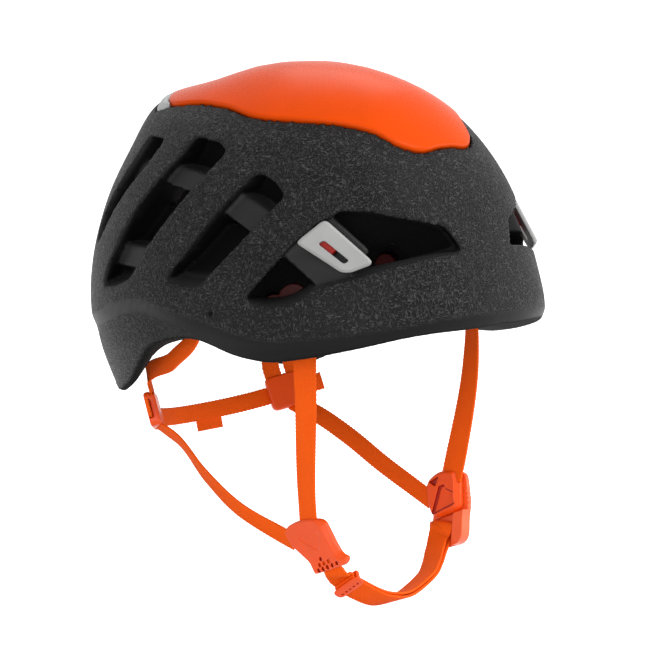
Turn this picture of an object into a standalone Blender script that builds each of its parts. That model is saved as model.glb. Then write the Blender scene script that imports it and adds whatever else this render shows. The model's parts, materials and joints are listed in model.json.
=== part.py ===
"""Climbing helmet: vented foam shell, crown cap, headlamp hooks, webbing harness and magnetic buckle.

Sizes are in millimetres and angles in degrees. The front faces -Y, the wearer's left is +X, Z is up.
The origin is the middle of the head opening, level with the front rim.
A plan angle runs from 0 at the front to 90 at the wearer's left side and 180 at the rear.
"""
import math

import bmesh
import bpy
import numpy as np

MM = 0.001

# Shell outside
SHELL_HALF_WIDTH = 108.0
SHELL_FRONT = 134.8
SHELL_REAR = 136.0
CROWN_HEIGHT = 134.0
CROWN_START = 20.0
PLAN_POWER = 2.1
# Upright profiles as (share of the plan reach, share of the crown height), rim to crown
FRONT_PROFILE = ((0.97, -0.15), (1.02, 0.0), (0.963, 0.22), (0.873, 0.45), (0.709, 0.69), (0.482, 0.88),
                 (0.2, 0.981), (0.0, 1.0))
SIDE_PROFILE = ((0.94, -0.24), (1.005, -0.09), (1.013, 0.075), (0.969, 0.31), (0.868, 0.56), (0.684, 0.776),
                (0.402, 0.925), (0.147, 0.991), (0.0, 1.0))
REAR_PROFILE = ((0.89, -0.41), (0.945, -0.26), (0.988, -0.075), (0.99, 0.11), (0.933, 0.37), (0.831, 0.61),
                (0.731, 0.806), (0.445, 0.91), (0.218, 0.981), (0.0, 1.0))
# Rim height by plan angle: low at the temple, arched over the ear, lobed behind it
RIM = ((0, -2.0), (30, -5.5), (45, -12.0), (60, -18.5), (68, -20.8), (76, -19.0), (90, -11.0), (97.5, -14.0),
       (113, -34.0), (122, -45.0), (130, -49.5), (138, -48.0), (150, -39.0), (165, -31.0), (180, -29.0))
RIM_BAND = 10.5
RIM_INSET = 3.0
RIM_LIFT = 2.0
COLUMNS = 52
OUTER_ROWS = 10
INNER_ROWS = 8

# Head cavity, from the walls round it
WALL_SIDE = 24.0
WALL_FRONT = 28.0
WALL_REAR = 32.0
WALL_CROWN = 30.0
CAVITY_POWER = 2.3

# Gap kept between pieces that touch, and how far a cut runs past a face
FIT = 0.3
CUT_PAST = 1.0

# Crown cap, in plan from the front middle round the left to the rear middle
CAP_OUTLINE = ((0.0, -94.0), (22.0, -92.0), (30.5, -86.0), (36.0, -77.0), (47.0, -62.0), (60.0, -40.0),
               (66.0, -14.0), (62.0, 8.0), (58.0, 30.0), (51.0, 61.0), (38.0, 73.0), (18.0, 79.0), (0.0, 80.0))
CAP_THICKNESS = 2.0
DISH_RINGS = (0.3, 0.55, 0.78, 0.92, 1.0)
CAP_PROUD = 0.4
CAP_GROOVE = 0.8
CORE_CLEARANCE = 0.7
POCKET_DEPTH = 12.0
TRIM_WIDTH = 7.0
TRIM_START = 46.0
TRIM_FULL = 66.0
TRIM_TIP_WIDTH = 1.4

# Vents, each cut level along a plan angle: outline as (run along the wall, height)
VENT_MARGIN = 12.0
WINDOW_DEPTH = 52.0
WINDOW_STEP = 1.2
BAR_DEPTH = 7.0
REAR_VENT = dict(
    cut=130, depth=BAR_DEPTH, step=WINDOW_STEP,
    outline=((-14.8, 94.0), (-12.9, 79.0), (-6.0, 70.0), (16.0, 40.0), (22.0, 33.0), (31.0, 35.0), (29.0, 44.0),
             (12.0, 68.0), (6.0, 79.0), (4.5, 94.0)),
    bars=(((-10.0, 74.5), (10.0, 74.5), 11.0),))
SIDE_VENT = dict(
    cut=90, depth=BAR_DEPTH, step=WINDOW_STEP,
    outline=((18.0, 97.0), (-3.2, 94.4), (-9.4, 90.8), (-1.2, 79.3), (9.7, 65.8), (32.0, 38.9), (45.8, 18.5),
             (60.3, 13.2), (75.6, 11.3), (69.8, 24.5), (50.0, 55.2), (22.6, 87.2)),
    bars=(((10.3, 72.8), (33.2, 76.2), 10.6), ((46.5, 29.6), (68.0, 29.8), 13.0)))
MIDDLE_VENT = dict(
    cut=90, depth=BAR_DEPTH, step=WINDOW_STEP,
    outline=((-33.9, 80.8), (-45.0, 77.0), (-53.2, 69.5), (-37.5, 48.8), (-14.5, 23.6), (-9.5, 18.6), (4.3, 17.9),
             (14.7, 20.0), (2.8, 33.6), (-19.9, 63.9)),
    bars=(((-37.8, 55.0), (-20.5, 63.5), 14.0),))
FRONT_VENT = dict(
    cut=45, depth=9.0, step=3.0,
    outline=((45.0, 13.5), (20.0, 43.5), (5.5, 55.3), (-6.7, 62.0), (-21.0, 61.4), (-63.5, 52.6), (-73.3, 39.2),
             (-57.0, 37.7), (-34.5, 33.0), (0.8, 23.4), (9.0, 21.3), (15.3, 15.4), (22.7, 12.0), (33.0, 10.4)),
    bars=(((-6.0, 33.3), (20.7, 57.2), 33.0),))
VENTS = dict(rear=REAR_VENT, side=SIDE_VENT, middle=MIDDLE_VENT, front=FRONT_VENT)
PIN_HOLE_ANGLE = 82.5
PIN_HOLE_HEIGHT = 4.9
PIN_HOLE_RADIUS = 1.4
PIN_HOLE_DEPTH = 8.0

# Headlamp hook: a plate on a foot that stands in the front vent's pillar
HOOK_ANGLE = 50.0
HOOK_HEIGHT = 42.5
HOOK_PROUD = 2.4
HOOK_THICKNESS = 2.8
HOOK_OUTLINE = ((-20.8, 2.7), (-19.5, 4.8), (-7.3, 15.0), (-4.6, 15.2), (20.0, -6.2), (19.6, -8.6), (8.6, -12.9),
                (3.6, -12.9))
HOOK_SLOT = ((-9.2, 2.4), (-6.0, 4.4), (8.0, -6.6), (5.1, -8.6))
FOOT_OUTLINE = ((-14.0, 3.4), (-6.6, 9.6), (2.6, 1.6), (-4.0, -4.4))
FOOT_SINK = 14.0

# Webbing
WEB_WIDTH = 13.5
REAR_WEB_WIDTH = 10.0
WEB_THICKNESS = 1.5
WEB_STEPS = 6
SOCKET_DEPTH = 4.0
SOCKET_CLEARANCE = 0.4

# Inner plates that hold the upper webbing ends
ANCHOR_BORDER = 2.5
ANCHOR_LENGTH = 16.0
ANCHOR_THICKNESS = 4.4
FRONT_ANCHOR_ANGLE = 62.0
FRONT_ANCHOR_HEIGHT = 5.0
RISER_ANCHOR_ANGLE = 98.0
RISER_ANCHOR_HEIGHT = 4.0
STAY_ANCHOR_ANGLE = 139.0
STAY_ANCHOR_HEIGHT = -22.0

# Upper webbing, between its anchor and its lower end, with its bends set in from the cavity wall
FRONT_STRAP_LOW_ANGLE = 60.0
FRONT_STRAP_LOW = -12.0
FRONT_STRAP_BEND_ANGLE = 59.5
FRONT_STRAP_BEND_HEIGHT = -35.0
FRONT_STRAP_BEND_INSET = 0.8
FRONT_STRAP_FACING = (0.97, -0.22, 0.0)
RISER_LOW = -9.0
RISER_BEND_ANGLE = 112.0
RISER_BEND_HEIGHT = -28.5
RISER_BEND_INSET = 3.0
RISER_FACING = (0.85, 0.5, -0.2)
STAY_LOW = -30.0

# Nape sliders, set in from the cavity wall and below the rim
SLIDER_ANGLE = 134.0
SLIDER_DROP = -61.5
SLIDER_INSET = 5.6
SLIDER_FACING = (0.63, 0.73, -0.26)
SLIDER_LENGTH = 24.0
SLIDER_HEIGHT = 20.0
SLIDER_THICKNESS = 6.4
SLIDER_BEVEL = 3.0
SLIDER_LAYER = 1.4
SLIDER_STRAP_OFFSET = 6.2
SLIDER_LEAD = 5.0
REAR_STRAP_OFFSET = 3.0
REAR_STRAP_LEAN = 0.37
NAPE_TAIL = 9.0
NAPE_MIDDLE = (0.0, 101.0, -73.0)
NAPE_FACING = (0.0, 1.0, -0.1)
NAPE_QUARTER = (27.0, 92.0, -71.0)
TAB_RUN = 18.0
TAB_WIDTH = 16.0
TAB_DROP = 7.0

# Strap divider (right) and buckle (left): outlines and strap lines as (forward, up) on their seen faces
DIVIDER_CENTRE = (-62.0, -53.0, -126.0)
DIVIDER_FACING = (-0.988, 0.105, -0.114)
DIVIDER_THICKNESS = 5.4
DIVIDER_OUTLINE = ((-23.4, 5.0), (-22.3, 7.8), (-19.5, 10.2), (-12.9, 13.4), (-5.0, 15.6), (4.5, 16.6), (8.0, 15.6),
                   (15.6, 4.0), (19.6, -0.9), (25.4, -2.1), (22.8, -6.6), (0.2, -14.9), (-1.4, -15.0), (-4.7, -9.2),
                   (-18.4, -1.6))
DIVIDER_FRONT = ((-5.0, 27.0), (-5.2, 15.4))
DIVIDER_REAR = ((-31.0, 4.1), (-21.8, 1.7))
DIVIDER_CHIN = ((10.9, -10.8), (12.0, -13.6))
BUCKLE_CENTRE = (60.5, -44.0, -111.0)
BUCKLE_FACING = (0.988, 0.105, -0.114)
BUCKLE_SEAM = 0.4
STRAP_HALF_THICKNESS = 6.0
STRAP_HALF_OUTLINE = ((-13.5, 5.3), (-5.5, 12.3), (5.3, 13.7), (10.4, 12.4), (14.4, -7.8), (-6.2, -15.0),
                      (-11.0, -8.0))
STRAP_HALF_FRONT = ((4.6, 23.0), (3.0, 12.4))
STRAP_HALF_REAR = ((-21.0, 0.8), (-12.9, -3.2))
CHIN_HALF_PLATE = 4.6
CHIN_HALF_STEP = 1.0
CHIN_HALF_OUTLINE = ((-12.5, 5.0), (-5.0, 12.0), (5.3, 13.4), (9.4, 12.0), (11.2, 3.1), (13.2, -4.1), (12.6, -11.4),
                     (13.4, -22.6), (10.6, -27.5), (-2.0, -31.5), (-8.8, -30.4), (-11.0, -20.0), (-10.5, -8.0))
LADDER_SPOT = (1.0, -20.6)
LADDER_BAR = 3.6
LADDER_BAR_THICKNESS = 2.2
LADDER_DROP = 11.0
LADDER_LEAD = 6.0
MAGNET_SPOT = (-0.5, 1.0)
MAGNET_RADIUS = 4.5
MAGNET_THICKNESS = 2.5

# Rear chin straps, from the slider to the divider or the buckle
RIGHT_REAR_ROUTE = ((58.5, 52.0, -75.0), (61.5, 27.0, -93.5), (62.0, 2.0, -109.5))
LEFT_REAR_ROUTE = ((58.5, 50.0, -73.5), (60.5, 27.0, -84.5), (61.5, 2.0, -98.5))

# Chin strap, from the divider under the chin to the buckle
CHIN_ROUTE = ((-52.2, -64.5, -142.4), (-47.5, -65.2, -145.1), (-39.8, -66.3, -149.5), (-23.0, -67.7, -156.4),
              (-11.0, -66.5, -157.9), (2.0, -63.2, -158.2), (17.0, -59.3, -155.7), (32.0, -55.5, -151.2))
CHIN_MIDDLE = (0.0, -45.0, -100.0)
CHIN_TAIL_GAP = 2.1
CHIN_TAIL_PAST = 2.0
KEEPER_STATION = 1
KEEPER_LENGTH = 8.0
KEEPER_WALL = 1.8
KEEPER_CLEARANCE = 0.7

# Comfort pads
PAD_THICKNESS = 7.0
PAD_CLEARANCE = 1.0
PAD_EDGE = 0.35
PAD_COLUMNS = 14
PAD_ROWS = 6
PAD_RINGS = (0.3, 0.6, 0.82, 0.94, 1.0)
FRONT_PAD_SPAN = 48.0
FRONT_PAD_LOW = 4.0
FRONT_PAD_HIGH = 28.0
REAR_PAD_SPAN = 26.0
REAR_PAD_LOW = -16.0
REAR_PAD_HIGH = 14.0
CROWN_PAD_HALF_WIDTH = 30.0
CROWN_PAD_HALF_LENGTH = 46.0

FOAM_BLACK = (0.022, 0.022, 0.024)
CAP_ORANGE = (0.80, 0.13, 0.02)
TRIM_GREY = (0.60, 0.61, 0.62)
HOOK_WHITE = (0.78, 0.78, 0.77)
WEB_ORANGE = (0.88, 0.17, 0.01)
CORAL = (0.90, 0.20, 0.06)
PEACH = (0.95, 0.34, 0.14)
CORE_WHITE = (0.75, 0.75, 0.73)
PAD_GREY = (0.06, 0.06, 0.065)
MAGNET_GREY = (0.45, 0.45, 0.46)


def unit(vector):
    vector = np.asarray(vector, float)
    return vector / np.linalg.norm(vector)


def lengths(points):
    """Distance along a line of points to each of them."""
    return np.concatenate(([0.0], np.cumsum(np.linalg.norm(np.diff(points, axis=0), axis=1))))


def smooth(knots, steps):
    """Points on a smooth curve through the knots, with some steps in each span."""
    knots = np.asarray(knots, float)
    run = lengths(knots)
    slope = np.gradient(knots, run, axis=0)
    points = [knots[0]]
    for here in range(len(knots) - 1):
        span = run[here + 1] - run[here]
        for u in np.arange(1, steps + 1) / steps:
            start = (1 + 2 * u) * (1 - u) ** 2 * knots[here] + u * (1 - u) ** 2 * span * slope[here]
            end = u * u * (3 - 2 * u) * knots[here + 1] + u * u * (u - 1) * span * slope[here + 1]
            points.append(start + end)
    return np.array(points)


def evenly(knots, count):
    """Points on the smooth curve through the knots, evenly spread along it."""
    curve = smooth(knots, 12)
    run = lengths(curve)
    at = np.linspace(0.0, run[-1], count)
    return np.stack([np.interp(at, run, curve[:, axis]) for axis in range(curve.shape[1])], axis=1)


def plan(angle, half_width, front, rear):
    """Point of the plan curve at a plan angle."""
    across = math.sin(math.radians(angle))
    along = math.cos(math.radians(angle))
    reach = front if along > 0 else rear
    x = half_width * math.copysign(abs(across) ** (2 / PLAN_POWER), across)
    y = -reach * math.copysign(abs(along) ** (2 / PLAN_POWER), along)
    return np.array((x, y))


PROFILES = [evenly(knots, 80) for knots in (FRONT_PROFILE, SIDE_PROFILE, REAR_PROFILE)]


def profile(angle):
    """Shell profile at a plan angle: shares of the reach and their heights, rim to crown."""
    along = math.cos(math.radians(angle))
    end = PROFILES[0] if along > 0 else PROFILES[2]
    mixed = along ** 2 * end + (1 - along ** 2) * PROFILES[1]
    return mixed[:, 0], mixed[:, 1] * CROWN_HEIGHT


def rim_height(angle):
    turn = abs((angle + 180) % 360 - 180)
    curve = smooth(RIM, 8)
    return float(np.interp(turn, curve[:, 0], curve[:, 1]))


def shell_point(angle, height):
    """Point of the shell's outer face."""
    shares, heights = profile(angle)
    share = np.interp(height, heights, shares)
    return np.array((*(plan(angle, SHELL_HALF_WIDTH, SHELL_FRONT, SHELL_REAR) * share), height))


def shell_normal(angle, height):
    across = shell_point(angle + 1, height) - shell_point(angle - 1, height)
    upward = shell_point(angle, height + 1) - shell_point(angle, height - 1)
    return unit(np.cross(across, upward))


def crown_height(x, y):
    """Height of the shell's outer face above a plan point on the crown."""
    reach = SHELL_FRONT if y < 0 else SHELL_REAR
    across = (abs(x) / SHELL_HALF_WIDTH) ** PLAN_POWER
    along = (abs(y) / reach) ** PLAN_POWER
    angle = math.degrees(math.atan2(math.sqrt(across), -math.copysign(math.sqrt(along), y)))
    shares, heights = profile(angle)
    crown = heights > CROWN_START
    share = (across + along) ** (1 / PLAN_POWER)
    return float(np.interp(-share, -shares[crown], heights[crown]))


CAVITY = (SHELL_HALF_WIDTH - WALL_SIDE, SHELL_FRONT - WALL_FRONT, SHELL_REAR - WALL_REAR)
CAVITY_HEIGHT = CROWN_HEIGHT - WALL_CROWN


def cavity_point(angle, height):
    """Point of the head cavity's wall."""
    rise = max(height, 0.0) / CAVITY_HEIGHT
    share = max(1 - rise ** CAVITY_POWER, 0.0) ** (1 / CAVITY_POWER)
    return np.array((*(plan(angle, *CAVITY) * share), height))


def cavity_normal(angle, height):
    """Direction from the cavity wall into the cavity."""
    across = cavity_point(angle + 1, height) - cavity_point(angle - 1, height)
    upward = cavity_point(angle, height + 1) - cavity_point(angle, height - 1)
    return -unit(np.cross(across, upward))


def cavity_crown(x, y):
    """Height of the cavity's roof above a plan point."""
    reach = CAVITY[1] if y < 0 else CAVITY[2]
    share = ((abs(x) / CAVITY[0]) ** PLAN_POWER + (abs(y) / reach) ** PLAN_POWER) ** (1 / PLAN_POWER)
    return CAVITY_HEIGHT * max(1 - share ** CAVITY_POWER, 0.0) ** (1 / CAVITY_POWER)


def mirrored(points, side):
    points = np.array(points, float)
    points[..., 0] *= side
    return points


def new_mesh(name, points, faces):
    """Mesh with its faces pointing out, from points in millimetres."""
    mesh = bpy.data.meshes.new(name)
    bm = bmesh.new()
    verts = [bm.verts.new(np.asarray(point, float) * MM) for point in points]
    for face in faces:
        bm.faces.new([verts[i] for i in face])
    bmesh.ops.triangulate(bm, faces=bm.faces, quad_method="FIXED")
    bmesh.ops.recalc_face_normals(bm, faces=bm.faces)
    bm.to_mesh(mesh)
    bm.free()
    return mesh


def piece(name, shape, colour, roughness, metallic=0.0, crease=40):
    """One named solid with its own material."""
    mesh = new_mesh(name, *shape)
    mesh.shade_smooth()
    mesh.set_sharp_from_angle(angle=math.radians(crease))
    material = bpy.data.materials.new(name)
    material.use_nodes = True
    shader = material.node_tree.nodes["Principled BSDF"]
    shader.inputs["Base Color"].default_value = (*colour, 1.0)
    shader.inputs["Roughness"].default_value = roughness
    shader.inputs["Metallic"].default_value = metallic
    mesh.materials.append(material)
    obj = bpy.data.objects.new(name, mesh)
    bpy.context.scene.collection.objects.link(obj)
    return obj


def combine(obj, shapes, operation):
    """Cut the shapes from a piece, or join them to it."""
    group = bpy.data.collections.new(f"{obj.name} {operation.lower()}")
    bpy.context.scene.collection.children.link(group)
    for number, shape in enumerate(shapes):
        name = f"{obj.name} {operation.lower()} {number}"
        tool = bpy.data.objects.new(name, new_mesh(name, *shape))
        tool.hide_render = True
        tool.display_type = "WIRE"
        group.objects.link(tool)
    modifier = obj.modifiers.new(operation.title(), "BOOLEAN")
    modifier.operation = operation
    modifier.operand_type = "COLLECTION"
    modifier.collection = group
    modifier.solver = "EXACT"


def prism(first, second):
    """Solid between two outlines with the same number of points."""
    count = len(first)
    sides = [(i, (i + 1) % count, count + (i + 1) % count, count + i) for i in range(count)]
    caps = [tuple(range(count)), tuple(range(2 * count - 1, count - 1, -1))]
    return [*first, *second], sides + caps


def lofted(rings):
    """Solid through closed rings of equal count, closed at both ends."""
    count = len(rings[0])
    points = [point for ring in rings for point in ring]
    faces = []
    for low in range(0, count * (len(rings) - 1), count):
        for i in range(count):
            j = (i + 1) % count
            faces.append((low + i, low + j, low + count + j, low + count + i))
    last = count * (len(rings) - 1)
    faces.append(tuple(range(count)))
    faces.append(tuple(range(last + count - 1, last - 1, -1)))
    return points, faces


def domed(rings, first_tip, last_tip):
    """Solid through closed rings, closed by a fan to a tip at each end."""
    points, faces = lofted(rings)
    count = len(rings[0])
    last = count * (len(rings) - 1)
    faces = faces[:-2]
    points = [*points, first_tip, last_tip]
    for i in range(count):
        j = (i + 1) % count
        faces.append((len(points) - 2, j, i))
        faces.append((len(points) - 1, last + i, last + j))
    return points, faces


def plate(frame, outline, low, high):
    """Flat plate: an outline in a frame's first two axes, between two offsets along its third."""
    origin, first, second, third = frame
    rings = [[origin + a * first + b * second + level * third for a, b in outline] for level in (low, high)]
    return prism(*rings)


def block(frame, lengths):
    """Box in a frame: low and high ends along each of its three axes."""
    (a0, a1), (b0, b1), (c0, c1) = lengths
    return plate(frame, ((a0, b0), (a1, b0), (a1, b1), (a0, b1)), c0, c1)


def circle(count):
    """Points of a circle of radius one."""
    turns = np.arange(count) * 2 * math.pi / count
    return np.stack((np.cos(turns), np.sin(turns)), axis=1)


def grown(outline, amount):
    """Outline moved outward by an amount, or one amount per point, in its own plane."""
    outline = np.asarray(outline, float)
    ahead = np.roll(outline, -1, axis=0) - outline
    turn = np.sum(np.cross(outline, np.roll(outline, -1, axis=0)))
    out = np.stack((ahead[:, 1], -ahead[:, 0]), axis=1) * math.copysign(1.0, turn)
    out /= np.linalg.norm(out, axis=1)[:, None]
    before = np.roll(out, 1, axis=0)
    corner = (out + before) / (1 + np.sum(out * before, axis=1))[:, None]
    return outline + corner * np.broadcast_to(amount, len(outline))[:, None]


def clipped(outline, point, away):
    """The part of an outline on the side of a line that a direction points to."""
    kept = []
    for here, there in zip(outline, np.roll(outline, -1, axis=0)):
        at_here = float((here - point) @ away)
        at_there = float((there - point) @ away)
        if at_here >= 0:
            kept.append(here)
        if at_here * at_there < 0:
            kept.append(here + (there - here) * at_here / (at_here - at_there))
    return np.array(kept)


# Foam shell


def shell_shape():
    angles = [360.0 * i / COLUMNS for i in range(COLUMNS)]
    edge, band = [], []
    columns, lining = [], []
    for angle in angles:
        low = rim_height(angle)
        point = shell_point(angle, low)
        reach = np.hypot(*point[:2])
        edge.append(point * ((reach - RIM_INSET) / reach, (reach - RIM_INSET) / reach, 1.0))
        band.append(shell_point(angle, low + RIM_BAND))
        shares, heights = profile(angle)
        spots = np.linspace(np.interp(low + RIM_BAND, heights, np.arange(len(heights))), len(heights) - 1,
                            OUTER_ROWS + 2)[1:-1]
        columns.append([shell_point(angle, np.interp(spot, np.arange(len(heights)), heights)) for spot in spots])
        inner_low = low + RIM_LIFT
        quarter = [math.sin(math.pi / 2 * row / INNER_ROWS) for row in range(INNER_ROWS)]
        lining.append([cavity_point(angle, inner_low + share * (CAVITY_HEIGHT - inner_low)) for share in quarter])
    inside = [[column[row] for column in lining] for row in reversed(range(INNER_ROWS))]
    outside = [[column[row] for column in columns] for row in range(OUTER_ROWS)]
    return domed([*inside, edge, band, *outside], (0, 0, CAVITY_HEIGHT), (0, 0, CROWN_HEIGHT))


def vent_point(cut, run, height):
    """Shell point on the left side at a run along the wall square to the vent's cut."""
    angles = np.arange(cut - 80.0, cut + 81.0, 2.0)
    points = np.array([shell_point(angle, height) for angle in angles])
    turn = math.radians(cut)
    runs = points[:, 0] * math.cos(turn) + points[:, 1] * math.sin(turn)
    rising = np.maximum.accumulate(runs)
    return np.array([np.interp(run, rising, points[:, axis]) for axis in range(3)])


def vent_cutter(cut, outline, depth, side):
    """Prism from outside the shell to a depth below its face."""
    turn = math.radians(cut)
    outward = np.array((math.sin(turn), -math.cos(turn), 0.0))
    faces = np.array([vent_point(cut, run, height) for run, height in outline])
    return prism(mirrored(faces + outward * VENT_MARGIN, side), mirrored(faces - outward * depth, side))


def vent_windows(vent):
    """The outlines between a vent's bars, which go right through the wall."""
    inner = grown(vent["outline"], -vent["step"])
    windows = []
    rest = inner
    for start, end, width in vent["bars"]:
        start = np.array(start)
        along = unit(np.array(end) - start)
        up = np.array((-along[1], along[0]))
        windows.append(clipped(rest, start + up * width / 2, up))
        rest = clipped(rest, start - up * width / 2, -up)
    return [*windows, rest]


def vent_cutters(side):
    shapes = []
    for vent in VENTS.values():
        shapes.append(vent_cutter(vent["cut"], vent["outline"], vent["depth"], side))
        shapes += [vent_cutter(vent["cut"], window, WINDOW_DEPTH, side) for window in vent_windows(vent)]
    return shapes


def pin_hole(side):
    centre = mirrored(shell_point(PIN_HOLE_ANGLE, PIN_HOLE_HEIGHT), side)
    ring = PIN_HOLE_RADIUS * circle(8)
    frame = (centre, np.array((0, 1.0, 0)), np.array((0, 0, 1.0)), np.array((side, 0, 0.0)))
    return plate(frame, ring, -PIN_HOLE_DEPTH, PIN_HOLE_DEPTH)


# Crown


def cap_curve():
    """Closed outline of the cap in plan."""
    half = smooth(CAP_OUTLINE, 2)
    return np.concatenate((half, (half * (-1, 1))[-2:0:-1]))


def trim_widths(outline):
    rise = np.clip((outline[:, 1] - TRIM_START) / (TRIM_FULL - TRIM_START), 0.0, 1.0)
    return TRIM_WIDTH * rise * rise * (3 - 2 * rise)


def dish(outline, roof, above, below):
    """Solid under a roof: an outline filled by rings, between two heights measured from the roof."""
    middle = outline.mean(axis=0)
    rings = [middle + (outline - middle) * share for share in DISH_RINGS]
    top = [[(x, y, roof(x, y) + above) for x, y in ring] for ring in rings]
    bottom = [[(x, y, roof(x, y) + below) for x, y in ring] for ring in reversed(rings)]
    peak = roof(*middle)
    return domed([*top, *bottom], (*middle, peak + above), (*middle, peak + below))


def trim_shape(outline, widths):
    """Strip between the cap's rear edge and the pocket's wall."""
    wide = np.flatnonzero(widths > TRIM_TIP_WIDTH)
    near = grown(outline, CAP_GROOVE)[wide]
    far = grown(outline, widths + CAP_GROOVE - FIT)[wide]
    rings = []
    for inner, outer in zip(near, far):
        ring = [(*inner, crown_height(*inner) + CAP_PROUD), (*outer, crown_height(*outer) + CAP_PROUD)]
        ring += [(x, y, z - CAP_THICKNESS - CAP_PROUD) for x, y, z in reversed(ring)]
        rings.append(ring)
    return lofted(rings)


def build_crown(shell_cuts):
    outline = cap_curve()
    widths = trim_widths(outline)
    pocket = grown(outline, widths + CAP_GROOVE)
    shell_cuts.append(dish(pocket, crown_height, VENT_MARGIN, -POCKET_DEPTH))
    core = grown(pocket, -FIT)
    piece("crown_cap", dish(outline, crown_height, CAP_PROUD, -CAP_THICKNESS), CAP_ORANGE, 0.32)
    piece("crown_core", dish(core, crown_height, -CAP_THICKNESS - CORE_CLEARANCE, FIT - POCKET_DEPTH), CORE_WHITE, 0.8)
    piece("rear_trim", trim_shape(outline, widths), TRIM_GREY, 0.4)


# Headlamp hooks


def hook_frame(side):
    """Frame on the shell's face: forward, up along the face, and outward."""
    outward = shell_normal(HOOK_ANGLE, HOOK_HEIGHT)
    forward = unit(np.cross(outward, (0, 0, 1.0)))
    up = np.cross(forward, outward)
    up = up * math.copysign(1.0, up[2])
    forward = forward * math.copysign(1.0, -forward[1])
    return tuple(mirrored(axis, side) for axis in (shell_point(HOOK_ANGLE, HOOK_HEIGHT), forward, up, outward))


def build_hook(side, label, shell_cuts):
    frame = hook_frame(side)
    back = HOOK_PROUD - HOOK_THICKNESS
    hook = piece(f"hook_{label}", plate(frame, HOOK_OUTLINE, back, HOOK_PROUD), HOOK_WHITE, 0.4)
    combine(hook, [plate(frame, HOOK_SLOT, back - CUT_PAST, HOOK_PROUD + CUT_PAST)], "DIFFERENCE")
    piece(f"hook_foot_{label}", plate(frame, FOOT_OUTLINE, -FOOT_SINK, back - FIT), CORAL, 0.45)
    shell_cuts.append(plate(frame, grown(FOOT_OUTLINE, FIT), -FOOT_SINK - FIT, VENT_MARGIN))


# Webbing


class Band:
    """Flat webbing along a route of (point, facing) stations, with a straight run into a socket at each end."""

    def __init__(self, route, width, ends=(SOCKET_DEPTH, SOCKET_DEPTH)):
        points = np.array([point for point, _ in route], float)
        facings = np.array([unit(facing) for _, facing in route])
        self.points = smooth(points, WEB_STEPS)
        at = np.linspace(0, len(points) - 1, len(self.points))
        self.facings = np.stack([np.interp(at, range(len(points)), axis) for axis in facings.T], axis=1)
        self.tangents = np.gradient(self.points, axis=0)
        self.width = width
        self.ends = ends

    def frame(self, index):
        """Point, direction, width direction and facing at a station."""
        along = unit(self.tangents[index])
        across = unit(np.cross(self.facings[index], along))
        return self.points[index], along, across, np.cross(along, across)

    def start(self):
        point, along, across, facing = self.frame(0)
        return point, -along, across, facing

    def end(self):
        return self.frame(-1)

    def shape(self):
        frames = [self.frame(i) for i in range(len(self.points))]
        first, last = self.start(), self.end()
        frames.insert(0, (first[0] + first[1] * self.ends[0], *frames[0][1:]))
        frames.append((last[0] + last[1] * self.ends[1], *frames[-1][1:]))
        half, thin = self.width / 2, WEB_THICKNESS / 2
        corners = ((-half, -thin), (half, -thin), (half, thin), (-half, thin))
        return lofted([[point + across * a + facing * b for a, b in corners]
                       for point, _, across, facing in frames])

    def socket(self, frame):
        """Cut that takes this band's end, from just outside its mouth."""
        half = self.width / 2 + SOCKET_CLEARANCE
        thin = WEB_THICKNESS / 2 + SOCKET_CLEARANCE
        return block(frame, ((-SOCKET_DEPTH, SOCKET_DEPTH + SOCKET_CLEARANCE), (-half, half), (-thin, thin)))


def wall_station(angle, height, side, inset=0.0):
    """Station of a band that lies on the cavity wall, or an inset away from it."""
    inward = cavity_normal(angle, height)
    point = cavity_point(angle, height) + inward * (WEB_THICKNESS / 2 + 2 * FIT + inset)
    return mirrored(point, side), mirrored(-inward, side)


def build_anchor(name, band, shell_cuts):
    """Plate on the cavity wall that holds a band's upper end, sunk in a matching pocket."""
    frame = band.start()
    half = band.width / 2 + ANCHOR_BORDER
    deep = ANCHOR_THICKNESS / 2
    outline = [(0.0, -half), (0.0, half)]
    for turn in np.radians((0, 30, 60, 90, 120, 150, 180)):
        outline.append((ANCHOR_LENGTH - half + half * math.sin(turn), half * math.cos(turn)))
    anchor = piece(name, plate(frame, outline, -deep, deep), CORAL, 0.45)
    combine(anchor, [band.socket(frame)], "DIFFERENCE")
    shell_cuts.append(plate(frame, grown(outline, FIT), -2 * deep, deep + FIT))


def slider_frame(side):
    """Frame of a nape slider: forward along the nape strap, up, and outward."""
    outward = unit(SLIDER_FACING)
    centre = cavity_point(SLIDER_ANGLE, SLIDER_DROP) + cavity_normal(SLIDER_ANGLE, SLIDER_DROP) * SLIDER_INSET
    forward = unit(centre - np.array(NAPE_QUARTER))
    forward = unit(forward - outward * (forward @ outward))
    up = np.cross(outward, forward)
    up = up * math.copysign(1.0, up[2])
    return tuple(mirrored(axis, side) for axis in (centre, forward, up, outward))


def slider_spot(frame, forward, up, outward=0.0):
    return frame[0] + frame[1] * forward + frame[2] * up + frame[3] * outward


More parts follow.
